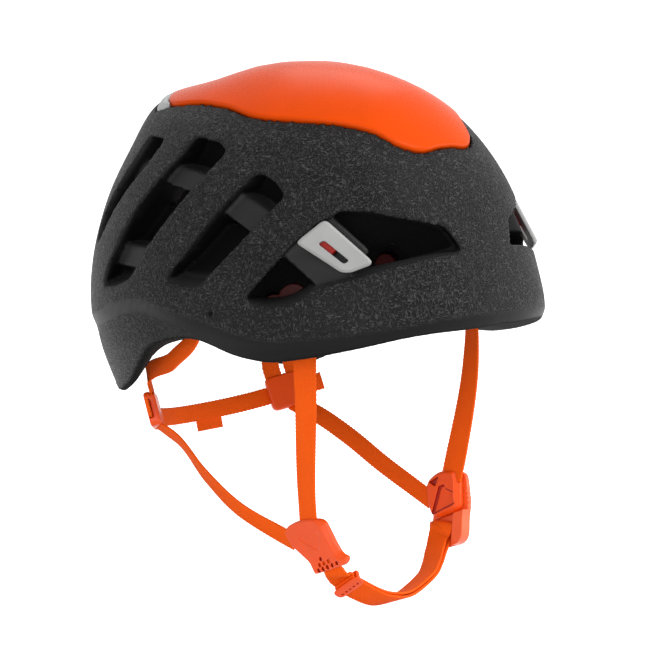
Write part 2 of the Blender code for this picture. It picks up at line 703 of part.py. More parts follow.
def build_upper_harness(side, label, shell_cuts):
    """Riser, stay and slider of one side. Returns the slider's frame and the cuts it needs so far."""
    frame = slider_frame(side)
    outward = frame[3]
    top = SLIDER_HEIGHT / 2
    bend, _ = wall_station(RISER_BEND_ANGLE, RISER_BEND_HEIGHT, side, RISER_BEND_INSET)
    riser = Band([
        wall_station(RISER_ANCHOR_ANGLE, RISER_ANCHOR_HEIGHT, side),
        wall_station(RISER_ANCHOR_ANGLE, RISER_LOW, side),
        (bend, mirrored(RISER_FACING, side)),
        (slider_spot(frame, SLIDER_STRAP_OFFSET, top + SLIDER_LEAD, -SLIDER_LAYER), outward),
        (slider_spot(frame, SLIDER_STRAP_OFFSET, top, -SLIDER_LAYER), outward)], REAR_WEB_WIDTH)
    stay = Band([
        wall_station(STAY_ANCHOR_ANGLE, STAY_ANCHOR_HEIGHT, side),
        wall_station(STAY_ANCHOR_ANGLE, STAY_LOW, side),
        (slider_spot(frame, -SLIDER_STRAP_OFFSET, top + SLIDER_LEAD, -SLIDER_LAYER), outward),
        (slider_spot(frame, -SLIDER_STRAP_OFFSET, top, -SLIDER_LAYER), outward)], REAR_WEB_WIDTH)
    for name, band in (("riser", riser), ("stay", stay)):
        piece(f"{name}_strap_{label}", band.shape(), WEB_ORANGE, 0.7)
        build_anchor(f"{name}_anchor_{label}", band, shell_cuts)
    return frame, [riser.socket(riser.end()), stay.socket(stay.end())]


def build_slider(frame, label, cuts):
    """Slider with sockets in its inner layer and a slot for the nape strap through its outer layer."""
    half = SLIDER_LENGTH / 2
    top = SLIDER_HEIGHT / 2
    outline = []
    for a, b in ((1, 1), (-1, 1), (-1, -1), (1, -1)):
        corner = [(a * (half - SLIDER_BEVEL), b * top), (a * half, b * (top - SLIDER_BEVEL))]
        outline += corner if a * b < 0 else corner[::-1]
    deep = SLIDER_THICKNESS / 2
    slider = piece(f"nape_slider_{label}", plate(frame, outline, -deep, deep), CORAL, 0.45)
    wide = REAR_WEB_WIDTH / 2 + SOCKET_CLEARANCE
    thin = WEB_THICKNESS / 2 + SOCKET_CLEARANCE
    slot = ((-SLIDER_LENGTH, SLIDER_LENGTH), (-wide, wide), (SLIDER_LAYER - thin, SLIDER_LAYER + thin))
    combine(slider, [*cuts, block(frame, slot)], "DIFFERENCE")


def build_nape(frames):
    """Strap round the nape, straight through both sliders, with a small tab under it."""
    stations = []
    for side, frame in zip((-1, 1), frames):
        ahead = SLIDER_LENGTH / 2 + NAPE_TAIL
        end = (slider_spot(frame, ahead, 0, SLIDER_LAYER), frame[3])
        straight = (slider_spot(frame, 0, 0, SLIDER_LAYER), frame[3])
        lead = (slider_spot(frame, -ahead, 0, SLIDER_LAYER), frame[3])
        stations.append([end, straight, lead][::side * -1])
    middle = (np.array(NAPE_MIDDLE), NAPE_FACING)
    nape = Band([*stations[0], middle, *stations[1]], REAR_WEB_WIDTH, (0.01, 0.01))
    piece("nape_strap", nape.shape(), WEB_ORANGE, 0.7)
    index = int(np.argmin(np.abs(nape.points[:, 0] - TAB_RUN) + (nape.points[:, 1] < 0) * 1000))
    frame = nape.frame(index)
    low = -nape.width / 2 - FIT
    drop = math.copysign(1.0, frame[2][2])
    across = (low - TAB_DROP, low) if drop > 0 else (-low, TAB_DROP - low)
    tab = block(frame, ((-TAB_WIDTH / 2, TAB_WIDTH / 2), across, (-WEB_THICKNESS / 2, WEB_THICKNESS / 2)))
    piece("nape_tab", tab, WEB_ORANGE, 0.7)


def fitting_frame(centre, facing):
    """Frame of a flat fitting beside the jaw: forward, up, and outward."""
    outward = unit(facing)
    forward = np.array((0, -1.0, 0))
    forward = unit(forward - outward * (forward @ outward))
    up = np.cross(outward, forward)
    return np.array(centre), forward, up * math.copysign(1.0, up[2]), outward


def fitting_spot(frame, spot, level=0.0):
    return frame[0] + frame[1] * spot[0] + frame[2] * spot[1] + frame[3] * level


def front_band(side, frame, line, level):
    """Front strap from its anchor down the wall to a fitting."""
    bend, _ = wall_station(FRONT_STRAP_BEND_ANGLE, FRONT_STRAP_BEND_HEIGHT, side, FRONT_STRAP_BEND_INSET)
    stations = [
        wall_station(FRONT_ANCHOR_ANGLE, FRONT_ANCHOR_HEIGHT, side),
        wall_station(FRONT_STRAP_LOW_ANGLE, FRONT_STRAP_LOW, side),
        (bend, mirrored(FRONT_STRAP_FACING, side))]
    return Band(stations + [(fitting_spot(frame, spot, level), frame[3]) for spot in line], WEB_WIDTH)


def rear_band(side, slider, frame, middle, line, level):
    """Rear chin strap from the slider's foot forward to a fitting, turning on the way."""
    foot = -SLIDER_HEIGHT / 2
    lean = REAR_STRAP_OFFSET + REAR_STRAP_LEAN * SLIDER_LEAD
    points = [slider_spot(slider, REAR_STRAP_OFFSET, foot, -SLIDER_LAYER),
              slider_spot(slider, lean, foot - SLIDER_LEAD, -SLIDER_LAYER)]
    points += [mirrored(point, side) for point in middle]
    points += [fitting_spot(frame, spot, level) for spot in line]
    run = lengths(points)
    facings = [slider[3] + (frame[3] - slider[3]) * at / run[-1] for at in run]
    return Band(list(zip(points, facings)), REAR_WEB_WIDTH)


def build_divider(slider):
    """Right divider with the front and rear straps that end in it."""
    frame = fitting_frame(DIVIDER_CENTRE, DIVIDER_FACING)
    level = -DIVIDER_THICKNESS / 2
    front = front_band(-1, frame, DIVIDER_FRONT, level)
    rear = rear_band(-1, slider, frame, RIGHT_REAR_ROUTE, DIVIDER_REAR, level)
    divider = piece("strap_divider", plate(frame, DIVIDER_OUTLINE, -DIVIDER_THICKNESS, 0.0), CORAL, 0.42)
    piece("front_strap_right", front.shape(), WEB_ORANGE, 0.7)
    piece("rear_chin_strap_right", rear.shape(), WEB_ORANGE, 0.7)
    return frame, divider, front, rear


def magnet_disc(frame, low, high, extra=0.0):
    ring = [MAGNET_SPOT + (MAGNET_RADIUS + extra) * point for point in circle(16)]
    return plate(frame, ring, low, high)


def build_strap_half(slider):
    """Left buckle half with the front and rear straps that end in it."""
    frame = fitting_frame(BUCKLE_CENTRE, BUCKLE_FACING)
    face = STRAP_HALF_THICKNESS
    front = front_band(1, frame, STRAP_HALF_FRONT, face / 2)
    rear = rear_band(1, slider, frame, LEFT_REAR_ROUTE, STRAP_HALF_REAR, face / 2)
    half = piece("buckle_strap_half", plate(frame, STRAP_HALF_OUTLINE, 0.0, face), CORAL, 0.42)
    piece("front_strap_left", front.shape(), WEB_ORANGE, 0.7)
    piece("rear_chin_strap_left", rear.shape(), WEB_ORANGE, 0.7)
    piece("strap_half_magnet", magnet_disc(frame, face - MAGNET_THICKNESS, face - FIT), MAGNET_GREY, 0.3, 0.9)
    pocket = magnet_disc(frame, face - MAGNET_THICKNESS - FIT, face + CUT_PAST, FIT)
    combine(half, [front.socket(front.end()), rear.socket(rear.end()), pocket], "DIFFERENCE")
    return frame, front, rear


STRAP_LIFT = LADDER_BAR_THICKNESS / 2 + SOCKET_CLEARANCE + WEB_THICKNESS / 2


def ladder_frame(frame):
    """Frame at the top edge of the ladder bar: along the bar, up, and outward."""
    level = CHIN_HALF_STEP + WEB_THICKNESS / 2 + STRAP_LIFT + FIT
    return fitting_spot(frame, LADDER_SPOT, level), *frame[1:]


def build_chin_half(frame):
    """Left buckle half behind the strap half, with a bay below it where the chin strap folds round a bar."""
    face = STRAP_HALF_THICKNESS + BUCKLE_SEAM
    back = face + CHIN_HALF_PLATE
    half = piece("buckle_chin_half", plate(frame, CHIN_HALF_OUTLINE, face, back), PEACH, 0.42)
    near, far = np.array(STRAP_HALF_OUTLINE[4]), np.array(STRAP_HALF_OUTLINE[5])
    along = unit(far - near)
    down = np.array((-along[1], along[0]))
    lower = clipped(np.array(CHIN_HALF_OUTLINE), near + down * BUCKLE_SEAM, down)
    combine(half, [plate(frame, lower, CHIN_HALF_STEP, back - CHIN_HALF_PLATE / 2)], "UNION")
    ladder = ladder_frame(frame)
    wide = WEB_WIDTH / 2 + SOCKET_CLEARANCE
    room = STRAP_LIFT + WEB_THICKNESS / 2 + 2 * SOCKET_CLEARANCE
    bay = block(ladder, ((-wide, wide), (-2 * LADDER_DROP, room), (-2 * face, room)))
    pocket = magnet_disc(frame, face - CUT_PAST, face + MAGNET_THICKNESS + FIT, FIT)
    combine(half, [bay, pocket], "DIFFERENCE")
    thin = LADDER_BAR_THICKNESS / 2
    combine(half, [block(ladder, ((-wide - CUT_PAST, wide + CUT_PAST), (-LADDER_BAR, 0.0), (-thin, thin)))], "UNION")
    piece("chin_half_magnet", magnet_disc(frame, face + FIT, face + MAGNET_THICKNESS), MAGNET_GREY, 0.3, 0.9)
    return ladder


def chin_band(divider_frame, ladder):
    """Chin strap from the divider, round the ladder bar and back along itself to the keeper."""
    origin, _, up, outward = ladder
    points = np.array(CHIN_ROUTE)
    facings = points - CHIN_MIDDLE
    facings[:KEEPER_STATION + 2] = facings[KEEPER_STATION]
    route = list(zip(points, facings))
    level = -DIVIDER_THICKNESS / 2
    main = [(fitting_spot(divider_frame, spot, level), divider_frame[3]) for spot in DIVIDER_CHIN] + route
    straight = [origin - up * (LADDER_DROP + LADDER_LEAD), origin - up * LADDER_DROP]
    bar = [(point - outward * STRAP_LIFT, outward) for point in straight]
    for turn in np.radians((0, 45, 90, 135, 180)):
        away = up * math.sin(turn) - outward * math.cos(turn)
        bar.append((origin + away * STRAP_LIFT, -away))
    bar += [(point + outward * STRAP_LIFT, -outward) for point in reversed(straight)]
    past = unit(points[KEEPER_STATION - 1] - points[KEEPER_STATION]) * (KEEPER_LENGTH / 2 + CHIN_TAIL_PAST)
    tail = route[:KEEPER_STATION - 1:-1] + [(points[KEEPER_STATION] + past, facings[KEEPER_STATION])]
    back = [(point + unit(facing) * CHIN_TAIL_GAP, -facing) for point, facing in tail]
    return Band(main + bar + back, WEB_WIDTH, (SOCKET_DEPTH, 0.01))


def build_keeper(chin):
    """Loop round both strands of the chin strap, near the divider."""
    index = WEB_STEPS * (KEEPER_STATION + 2)
    point, along, across, facing = chin.frame(index)
    outward = facing if facing @ (point - np.array(CHIN_MIDDLE)) > 0 else -facing
    frame = (point + outward * CHIN_TAIL_GAP / 2, along, across, outward)
    wide = WEB_WIDTH / 2 + KEEPER_CLEARANCE
    thin = (CHIN_TAIL_GAP + WEB_THICKNESS) / 2 + KEEPER_CLEARANCE
    half = KEEPER_LENGTH / 2
    outer = block(frame, ((-half, half), (-wide - KEEPER_WALL, wide + KEEPER_WALL),
                          (-thin - KEEPER_WALL, thin + KEEPER_WALL)))
    keeper = piece("strap_keeper", outer, CORAL, 0.42)
    combine(keeper, [block(frame, ((-KEEPER_LENGTH, KEEPER_LENGTH), (-wide, wide), (-thin, thin)))], "DIFFERENCE")


# Comfort pads


def wall_pad(name, middle, span, low, high):
    """Pad on the cavity wall with a rounded crown and drawn-in edges."""
    columns, rows = PAD_COLUMNS, PAD_ROWS
    back, face = [], []
    for column in range(columns + 1):
        across = 2 * column / columns - 1
        for row in range(rows + 1):
            upward = 2 * row / rows - 1
            angle = middle + span * across
            height = (low + high) / 2 + (high - low) / 2 * upward
            inward = cavity_normal(angle, height)
            wall = cavity_point(angle, height) + inward * PAD_CLEARANCE
            swell = PAD_EDGE + (1 - PAD_EDGE) * ((1 - across ** 4) * (1 - upward ** 4)) ** 0.5
            back.append(wall)
            face.append(wall + inward * PAD_THICKNESS * swell)
    stride = rows + 1
    faces = []
    size = len(back)
    for column in range(columns):
        for row in range(rows):
            i = column * stride + row
            quad = (i, i + 1, i + stride + 1, i + stride)
            faces.append(quad)
            faces.append(tuple(size + k for k in reversed(quad)))
    border = [row for row in range(rows)] + [column * stride + rows for column in range(columns)]
    border += [columns * stride + row for row in range(rows, 0, -1)]
    border += [column * stride for column in range(columns, 0, -1)]
    for here, there in zip(border, border[1:] + border[:1]):
        faces.append((here, there, size + there, size + here))
    return piece(name, (back + face, faces), PAD_GREY, 0.9)


def crown_pad():
    turns = np.linspace(0, 2 * math.pi, 28, endpoint=False)
    outline = np.stack((CROWN_PAD_HALF_WIDTH * np.cos(turns), CROWN_PAD_HALF_LENGTH * np.sin(turns)), axis=1)
    rings = [outline * share for share in PAD_RINGS]
    top = [[(x, y, cavity_crown(x, y) - PAD_CLEARANCE) for x, y in ring] for ring in rings]
    bottom = []
    for share, ring in zip(reversed(PAD_RINGS), reversed(rings)):
        swell = PAD_EDGE + (1 - PAD_EDGE) * (1 - share ** 4) ** 0.5
        bottom.append([(x, y, cavity_crown(x, y) - PAD_CLEARANCE - PAD_THICKNESS * swell) for x, y in ring])
    peak = CAVITY_HEIGHT - PAD_CLEARANCE
    return piece("pad_crown", domed([*top, *bottom], (0, 0, peak), (0, 0, peak - PAD_THICKNESS)), PAD_GREY, 0.9)


def main():
    for obj in list(bpy.data.objects):
        bpy.data.objects.remove(obj)
    shell = piece("foam_shell", shell_shape(), FOAM_BLACK, 0.7)
    shell_cuts = []
    build_crown(shell_cuts)
    sliders = []
    for side, label in ((-1, "right"), (1, "left")):
        shell_cuts += vent_cutters(side)
        shell_cuts.append(pin_hole(side))
        build_hook(side, label, shell_cuts)
        sliders.append(build_upper_harness(side, label, shell_cuts))
    build_nape([frame for frame, _ in sliders])
    divider_frame, divider, front_right, rear_right = build_divider(sliders[0][0])
    buckle_frame, front_left, rear_left = build_strap_half(sliders[1][0])
    build_anchor("front_anchor_right", front_right, shell_cuts)
    build_anchor("front_anchor_left", front_left, shell_cuts)
    for (frame, cuts), rear, label in zip(sliders, (rear_right, rear_left), ("right", "left")):
        build_slider(frame, label, [*cuts, rear.socket(rear.start())])
    chin = chin_band(divider_frame, build_chin_half(buckle_frame))
    piece("chin_strap", chin.shape(), WEB_ORANGE, 0.7)
    build_keeper(chin)
    combine(divider, [front_right.socket(front_right.end()), rear_right.socket(rear_right.end()),
                      chin.socket(chin.start())], "DIFFERENCE")
    wall_pad("pad_front", 0.0, FRONT_PAD_SPAN, FRONT_PAD_LOW, FRONT_PAD_HIGH)
    wall_pad("pad_rear", 180.0, REAR_PAD_SPAN, REAR_PAD_LOW, REAR_PAD_HIGH)
    crown_pad()
    combine(shell, shell_cuts, "DIFFERENCE")


main()
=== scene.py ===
# %% [markdown]
# # A climbing helmet
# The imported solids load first, as a frame that nothing here moves. Each piece is then built finer on
# the same measures, in millimetres, and rides on the body that carries it.

# %% The frame
import json
import math

import bmesh
import bpy
import numpy as np
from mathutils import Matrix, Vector

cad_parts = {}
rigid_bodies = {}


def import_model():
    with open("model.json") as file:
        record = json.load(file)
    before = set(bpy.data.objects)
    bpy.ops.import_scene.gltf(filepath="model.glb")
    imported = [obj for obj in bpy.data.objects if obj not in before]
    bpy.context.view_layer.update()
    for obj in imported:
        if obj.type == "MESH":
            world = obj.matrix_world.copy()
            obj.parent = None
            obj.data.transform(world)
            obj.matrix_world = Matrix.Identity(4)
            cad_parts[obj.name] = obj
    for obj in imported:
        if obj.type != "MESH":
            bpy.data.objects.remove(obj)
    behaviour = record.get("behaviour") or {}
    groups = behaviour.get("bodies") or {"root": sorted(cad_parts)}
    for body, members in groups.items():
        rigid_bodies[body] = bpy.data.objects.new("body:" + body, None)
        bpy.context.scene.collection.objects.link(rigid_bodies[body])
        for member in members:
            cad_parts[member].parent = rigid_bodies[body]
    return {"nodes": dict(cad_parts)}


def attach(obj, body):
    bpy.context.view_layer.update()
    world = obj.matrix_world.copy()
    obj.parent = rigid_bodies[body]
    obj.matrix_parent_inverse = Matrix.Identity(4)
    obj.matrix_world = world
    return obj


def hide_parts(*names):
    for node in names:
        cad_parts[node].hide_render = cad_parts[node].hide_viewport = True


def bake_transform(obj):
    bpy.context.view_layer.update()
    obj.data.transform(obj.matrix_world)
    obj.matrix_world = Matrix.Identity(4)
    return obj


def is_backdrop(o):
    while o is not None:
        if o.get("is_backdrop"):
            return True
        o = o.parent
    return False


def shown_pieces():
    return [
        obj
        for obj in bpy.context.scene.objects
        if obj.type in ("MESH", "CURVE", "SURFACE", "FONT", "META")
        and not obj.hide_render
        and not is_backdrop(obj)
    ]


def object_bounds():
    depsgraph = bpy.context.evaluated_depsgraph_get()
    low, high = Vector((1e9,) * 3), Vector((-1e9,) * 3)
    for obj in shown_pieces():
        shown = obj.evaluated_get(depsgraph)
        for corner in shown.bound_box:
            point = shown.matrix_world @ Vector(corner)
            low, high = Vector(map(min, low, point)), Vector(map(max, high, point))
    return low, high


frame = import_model()
CAD_BOX = [list(corner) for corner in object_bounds()]
MM = 0.001


def show(obj):
    """Put an object into the scene."""
    bpy.context.scene.collection.objects.link(obj)
    return obj


print("CAD box in metres:", CAD_BOX)

# %% [markdown]
# ## Camera
# The photograph was taken from far off, from the wearer's right front and a little above, so lines stay
# almost parallel. A long lens three metres away gives the same look.

# %% Camera
AZIMUTH = math.radians(-49)
ELEVATION = math.radians(7)
DISTANCE = 3.0
PICTURE_WIDTH = 0.364
AIM_RIGHT = 0.0058
AIM_DOWN = 0.0127

towards_camera = Vector((math.sin(AZIMUTH) * math.cos(ELEVATION), -math.cos(AZIMUTH) * math.cos(ELEVATION),
                         math.sin(ELEVATION)))
picture_right = Vector((math.cos(AZIMUTH), math.sin(AZIMUTH), 0))
picture_up = towards_camera.cross(picture_right)
camera = bpy.data.objects.new("camera", bpy.data.cameras.new("camera"))
camera.location = towards_camera * DISTANCE + picture_right * AIM_RIGHT - picture_up * AIM_DOWN
camera.rotation_euler = towards_camera.to_track_quat("Z", "Y").to_euler()
camera.data.lens = camera.data.sensor_width * DISTANCE / PICTURE_WIDTH
camera.data.clip_end = 50
show(camera)
bpy.context.scene.camera = camera
bpy.context.scene.view_settings.view_transform = "Standard"
print("lens", round(camera.data.lens, 1), "mm")

# %% [markdown]
# ## Writing shader maths as sums
# A material is a tree of nodes. This small class wraps one socket, so that a pattern can be written as a
# Python sum, and Finish makes any other node from its type, settings and inputs.


# %% Shader helpers
def make_node(tree, kind, settings):
    made = tree.nodes.new(kind)
    for key, value in settings.items():
        setattr(made, key, value)
    return made


class Wire:
    """A socket that can be used in sums."""

    def __init__(self, finish, socket):
        self.finish = finish
        self.socket = socket

    def maths(self, operation, *others):
        return self.finish.node("ShaderNodeMath", {"operation": operation}, dict(enumerate(others)))

    def __add__(self, other):
        return self.maths("ADD", self, other)

    def __sub__(self, other):
        return self.maths("SUBTRACT", self, other)

    def __rsub__(self, other):
        return self.maths("SUBTRACT", other, self)

    def __mul__(self, other):
        return self.maths("MULTIPLY", self, other)

    def __abs__(self):
        return self.maths("ABSOLUTE", self)

    __radd__ = __add__
    __rmul__ = __mul__

    def sine(self):
        return self.maths("SINE", self)

    def step(self, low, high):
        """Smooth rise from 0 at low to 1 at high."""
        return self.finish.node("ShaderNodeMapRange", {"interpolation_type": "SMOOTHSTEP"},
                                {"Value": self, "From Min": low, "From Max": high})


class Finish:
    """A node material around one Principled shader."""

    def __init__(self, name, **fixed):
        self.material = bpy.data.materials.new(name)
        self.material.use_nodes = True
        self.tree = self.material.node_tree
        self.surface = self.tree.nodes["Principled BSDF"]
        self.set(**fixed)

    def node(self, kind, settings, inputs, output=0):
        made = make_node(self.tree, kind, settings)
        for key, value in inputs.items():
            self.feed(made.inputs[key], value)
        return Wire(self, made.outputs[output])

    def feed(self, socket, value):
        if isinstance(value, Wire):
            self.tree.links.new(value.socket, socket)
        elif socket.type == "RGBA":
            socket.default_value = (*value[:3], 1.0)
        else:
            socket.default_value = value

    def set(self, **values):
        for key, value in values.items():
            self.feed(self.surface.inputs[key.replace("_", " ")], value)

    def place(self):
        return self.node("ShaderNodeTexCoord", {}, {}, "Object")

    def attribute(self, name):
        return self.node("ShaderNodeAttribute", {"attribute_name": name}, {}, "Fac")

    def noise(self, scale, detail=2.0, distortion=0.0, vector=None):
        inputs = {"Vector": vector or self.place(), "Scale": scale, "Detail": detail, "Distortion": distortion}
        return self.node("ShaderNodeTexNoise", {}, inputs, "Fac")

    def mix(self, share, first, second):
        """Colour between two, by a share from 0 to 1."""
        return self.node("ShaderNodeMix", {"data_type": "RGBA"}, {0: share, 6: first, 7: second}, 2)

    def bump(self, height, distance):
        self.set(Normal=self.node("ShaderNodeBump", {}, {"Height": height, "Distance": distance}))


print("shader helpers: Wire and Finish")

# %% [markdown]
# Moulded plastic is never one even colour. A slow noise clouds it, a fine one grains its gloss, and the faces
# that a piece marks as hollows get a painted shade: they are drawn darker, where shade would fall.

# %% Plastic finishes
PAINTED_SHADE_TONE = (0.45, 0.135, 0.135)


def plain_finish(name, colour, roughness, grain=0.06, scale=900, depth=0.00004, **fixed):
    """Moulded plastic: slight clouding, a fine moulding grain, and painted shade where a piece marks its hollows."""
    finish = Finish(name, **fixed)
    cloud = finish.noise(45, 3)
    darker = tuple(channel * (1 - grain) for channel in colour)
    lighter = tuple(min(1.0, channel * (1 + grain)) for channel in colour)
    clouded = finish.mix(cloud.step(0.3, 0.7), darker, lighter)
    # Painted shade: the marked hollows are drawn in a darker copy of the colour.
    deep = tuple(channel * share for channel, share in zip(colour, PAINTED_SHADE_TONE))
    finish.set(Base_Color=finish.mix(finish.attribute("painted_shade"), clouded, deep))
    fine = finish.noise(scale, 2)
    finish.set(Roughness=roughness + (fine - 0.5) * 0.12)
    finish.bump(fine, depth)
    return finish.material


def fitting_finish(name, colour, roughness, shine):
    """The finely grained plastic of the fittings."""
    return plain_finish(name, colour, roughness, 0.04, 1200, 0.00003, Specular_IOR_Level=shine)


def refinish(obj, material):
    obj.data.materials.clear()
    obj.data.materials.append(material)


print("plastic finishes: dark pits keep", PAINTED_SHADE_TONE, "of the colour")

# %% [markdown]
# ## Studio
# The background is plain white, so the world and the floor are lifted to white where the camera looks, and
# the floor still takes the helmet's shadow. The lamps light the helmet at a plain level. One soft lamp stands
# high at the camera's right and a wider one fills from beside the camera. One level with the helmet at the
# right lights the edges that face forward, and a weak one behind draws a sheen on the crown.

# %% Studio
FLOOR_DROP = 0.004


def seen(tree):
    """1 where the camera looks, straight or by a reflection."""
    path = tree.nodes.new("ShaderNodeLightPath")
    total = path.outputs["Is Camera Ray"]
    for name in ("Is Glossy Ray", "Is Transmission Ray"):
        larger = make_node(tree, "ShaderNodeMath", {"operation": "MAXIMUM"})
        tree.links.new(total, larger.inputs[0])
        tree.links.new(path.outputs[name], larger.inputs[1])
        total = larger.outputs[0]
    return total


world = bpy.data.worlds.new("studio")
bpy.context.scene.world = world
world.use_nodes = True
sky_tree = world.node_tree
sky = sky_tree.nodes["Background"]
sky.inputs["Strength"].default_value = 0.72
white = sky_tree.nodes.new("ShaderNodeBackground")
for backdrop in (sky, white):
    backdrop.inputs["Color"].default_value = (1, 1, 1, 1)
blend = sky_tree.nodes.new("ShaderNodeMixShader")
sky_tree.links.new(seen(sky_tree), blend.inputs[0])
sky_tree.links.new(sky.outputs[0], blend.inputs[1])
sky_tree.links.new(white.outputs[0], blend.inputs[2])
sky_tree.links.new(blend.outputs[0], sky_tree.nodes["World Output"].inputs["Surface"])

floor_finish = Finish("studio floor", Base_Color=(0.7, 0.7, 0.7), Roughness=0.9, Emission_Strength=0.9)
floor_finish.set(Emission_Color=floor_finish.mix(Wire(floor_finish, seen(floor_finish.tree)), (0, 0, 0), (1, 1, 1)))
floor_mesh = bpy.data.meshes.new("floor")
reach, low = 12.0, CAD_BOX[0][2] - FLOOR_DROP
floor_mesh.from_pydata([(-reach, -reach, low), (reach, -reach, low), (reach, reach, low), (-reach, reach, low)],
                       [], [(0, 1, 2, 3)])
floor_mesh.materials.append(floor_finish.material)
floor = bpy.data.objects.new("floor", floor_mesh)
show(floor)
floor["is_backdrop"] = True


def soft_lamp(name, right, up, back, size, power):
    """Square soft lamp placed in camera directions, in metres, and aimed at the helmet."""
    lamp = bpy.data.objects.new(name, bpy.data.lights.new(name, "AREA"))
    lamp.data.size = size
    lamp.data.energy = power
    lamp.location = picture_right * right + picture_up * up + towards_camera * back
    lamp.rotation_euler = lamp.location.to_track_quat("Z", "Y").to_euler()
    show(lamp)


soft_lamp("key", 1.2, 1.4, 0.6, 0.7, 20)
soft_lamp("fill", -0.4, -0.2, 1.8, 1.4, 20)
soft_lamp("edge", 1.6, 0.1, -0.1, 1.0, 13)
soft_lamp("crown", 0.1, 1.3, -1.0, 0.7, 3)
print("lamps and white floor set")

# %% [markdown]
# ## Curves, outlines and meshes
# The shell, the webbing and the fittings all start from a few measured points. A smooth curve runs through
# them, and an outline's corners are rounded or its edge is moved.


# %% Curves and outlines
def unit(vector):
    vector = np.asarray(vector, float)
    return vector / np.linalg.norm(vector, axis=-1, keepdims=True)


def ramp(values, start, run):
    """0 up to a start, rising to 1 over a run."""
    return np.clip((values - start) / run, 0, 1)


def eased(share):
    return share * share * (3 - 2 * share)


def lengths(points):
    return np.concatenate(([0.0], np.cumsum(np.linalg.norm(np.diff(points, axis=0), axis=1))))


def smooth(knots, steps):
    """Points on a smooth curve through the knots, with some steps in each span."""
    knots = np.asarray(knots, float)
    run = lengths(knots)
    slope = np.gradient(knots, run, axis=0)
    span = np.diff(run)[:, None, None]
    u = (np.arange(steps) / steps)[None, :, None]
    start = (1 + 2 * u) * (1 - u) ** 2 * knots[:-1, None] + u * (1 - u) ** 2 * span * slope[:-1, None]
    end = u * u * (3 - 2 * u) * knots[1:, None] + u * u * (u - 1) * span * slope[1:, None]
    return np.concatenate(((start + end).reshape(-1, knots.shape[1]), knots[-1:]))


def evenly(points, count):
    run = lengths(points)
    at = np.linspace(0.0, run[-1], count)
    return np.stack([np.interp(at, run, points[:, axis]) for axis in range(points.shape[1])], axis=1)


def rounded(outline, radius, steps=5):
    """Outline with its corners rounded."""
    outline = np.asarray(outline, float)
    points = []
    for before, corner, after in zip(np.roll(outline, 1, axis=0), outline, np.roll(outline, -1, axis=0)):
        to_before, to_after = before - corner, after - corner
        reach = [min(radius, 0.45 * np.linalg.norm(way)) for way in (to_before, to_after)]
        first = corner + unit(to_before) * reach[0]
        last = corner + unit(to_after) * reach[1]
        for u in np.linspace(0, 1, steps + 1):
            points.append((1 - u) ** 2 * first + 2 * u * (1 - u) * corner + u * u * last)
    return np.array(points)


def grown(outline, amount):
    """Outline moved outward by an amount in its own plane."""
    outline = np.asarray(outline, float)
    following = np.roll(outline, -1, axis=0)
    ahead = following - outline
    turn = np.sum(outline[:, 0] * following[:, 1] - outline[:, 1] * following[:, 0])
    out = unit(np.stack((ahead[:, 1], -ahead[:, 0]), axis=1)) * math.copysign(1.0, turn)
    before = np.roll(out, 1, axis=0)
    corner = (out + before) / np.maximum(1 + np.sum(out * before, axis=1), 0.3)[:, None]
    return outline + corner * np.broadcast_to(amount, len(outline))[:, None]


def clipped(outline, point, away):
    """The part of an outline on the side of a line that a direction points to."""
    kept = []
    for here, there in zip(outline, np.roll(outline, -1, axis=0)):
        at_here, at_there = float((here - point) @ away), float((there - point) @ away)
        if at_here >= 0:
            kept.append(here)
        if at_here * at_there < 0:
            kept.append(here + (there - here) * at_here / (at_here - at_there))
    return np.array(kept)


def mirrored(points, side):
    return np.asarray(points, float) * (side, 1, 1)


def circle(count, radius=1.0):
    turns = np.arange(count) * 2 * math.pi / count
    return radius * np.stack((np.cos(turns), np.sin(turns)), axis=1)


print("a rounded square has", len(rounded(circle(4), 0.2)), "points")

# %% [markdown]
# A solid is rings of points joined by quads, closed flat or by a fan to a tip. A flat outline is placed in a
# frame of three directions, so the same few functions serve every fitting.


# %% Solids
def ring_faces(count, rings):
    """Quads between rings of points that lie one after another."""
    faces = []
    for low in range(0, count * (rings - 1), count):
        high = low + count
        faces += [(low + i, low + (i + 1) % count, high + (i + 1) % count, high + i) for i in range(count)]
    return faces


def lofted(rings):
    """Solid through closed rings, closed flat at both ends."""
    count = len(rings[0])
    last = count * (len(rings) - 1)
    faces = ring_faces(count, len(rings)) + [tuple(range(count)), tuple(range(last + count - 1, last - 1, -1))]
    return np.concatenate([np.asarray(ring, float) for ring in rings]), faces


def domed(rings, first_tip, last_tip):
    """Solid through closed rings, closed by a fan to a tip at each end."""
    points, faces = lofted(rings)
    count, last = len(rings[0]), len(points)
    faces = faces[:-2]
    faces += [(last, (i + 1) % count, i) for i in range(count)]
    faces += [(last + 1, last - count + i, last - count + (i + 1) % count) for i in range(count)]
    return np.concatenate((points, [first_tip, last_tip])), faces


def in_frame(place, outline, level):
    """Flat outline placed in a frame's first two axes, at a level along its third."""
    origin, first, second, third = place
    outline = np.asarray(outline, float)
    raised = np.asarray(level, float).reshape(-1, 1) * third
    return origin + outline[:, :1] * first + outline[:, 1:2] * second + raised


def stacked(place, *layers):
    """Solid through flat outlines, each at its level in one frame."""
    return lofted([in_frame(place, outline, level) for outline, level in layers])


def plate(place, outline, low, high):
    return stacked(place, (outline, low), (outline, high))


def block(place, spans):
    (a0, a1), (b0, b1), (c0, c1) = spans
    return plate(place, ((a0, b0), (a1, b0), (a1, b1), (a0, b1)), c0, c1)


print("a ring of six between two levels has", len(ring_faces(6, 2)), "quads")

# %% [markdown]
# The points become an object, and Booleans cut it or join to it. A moulded piece is then remade from small
# voxels and smoothed, which rounds every edge as a mould does.


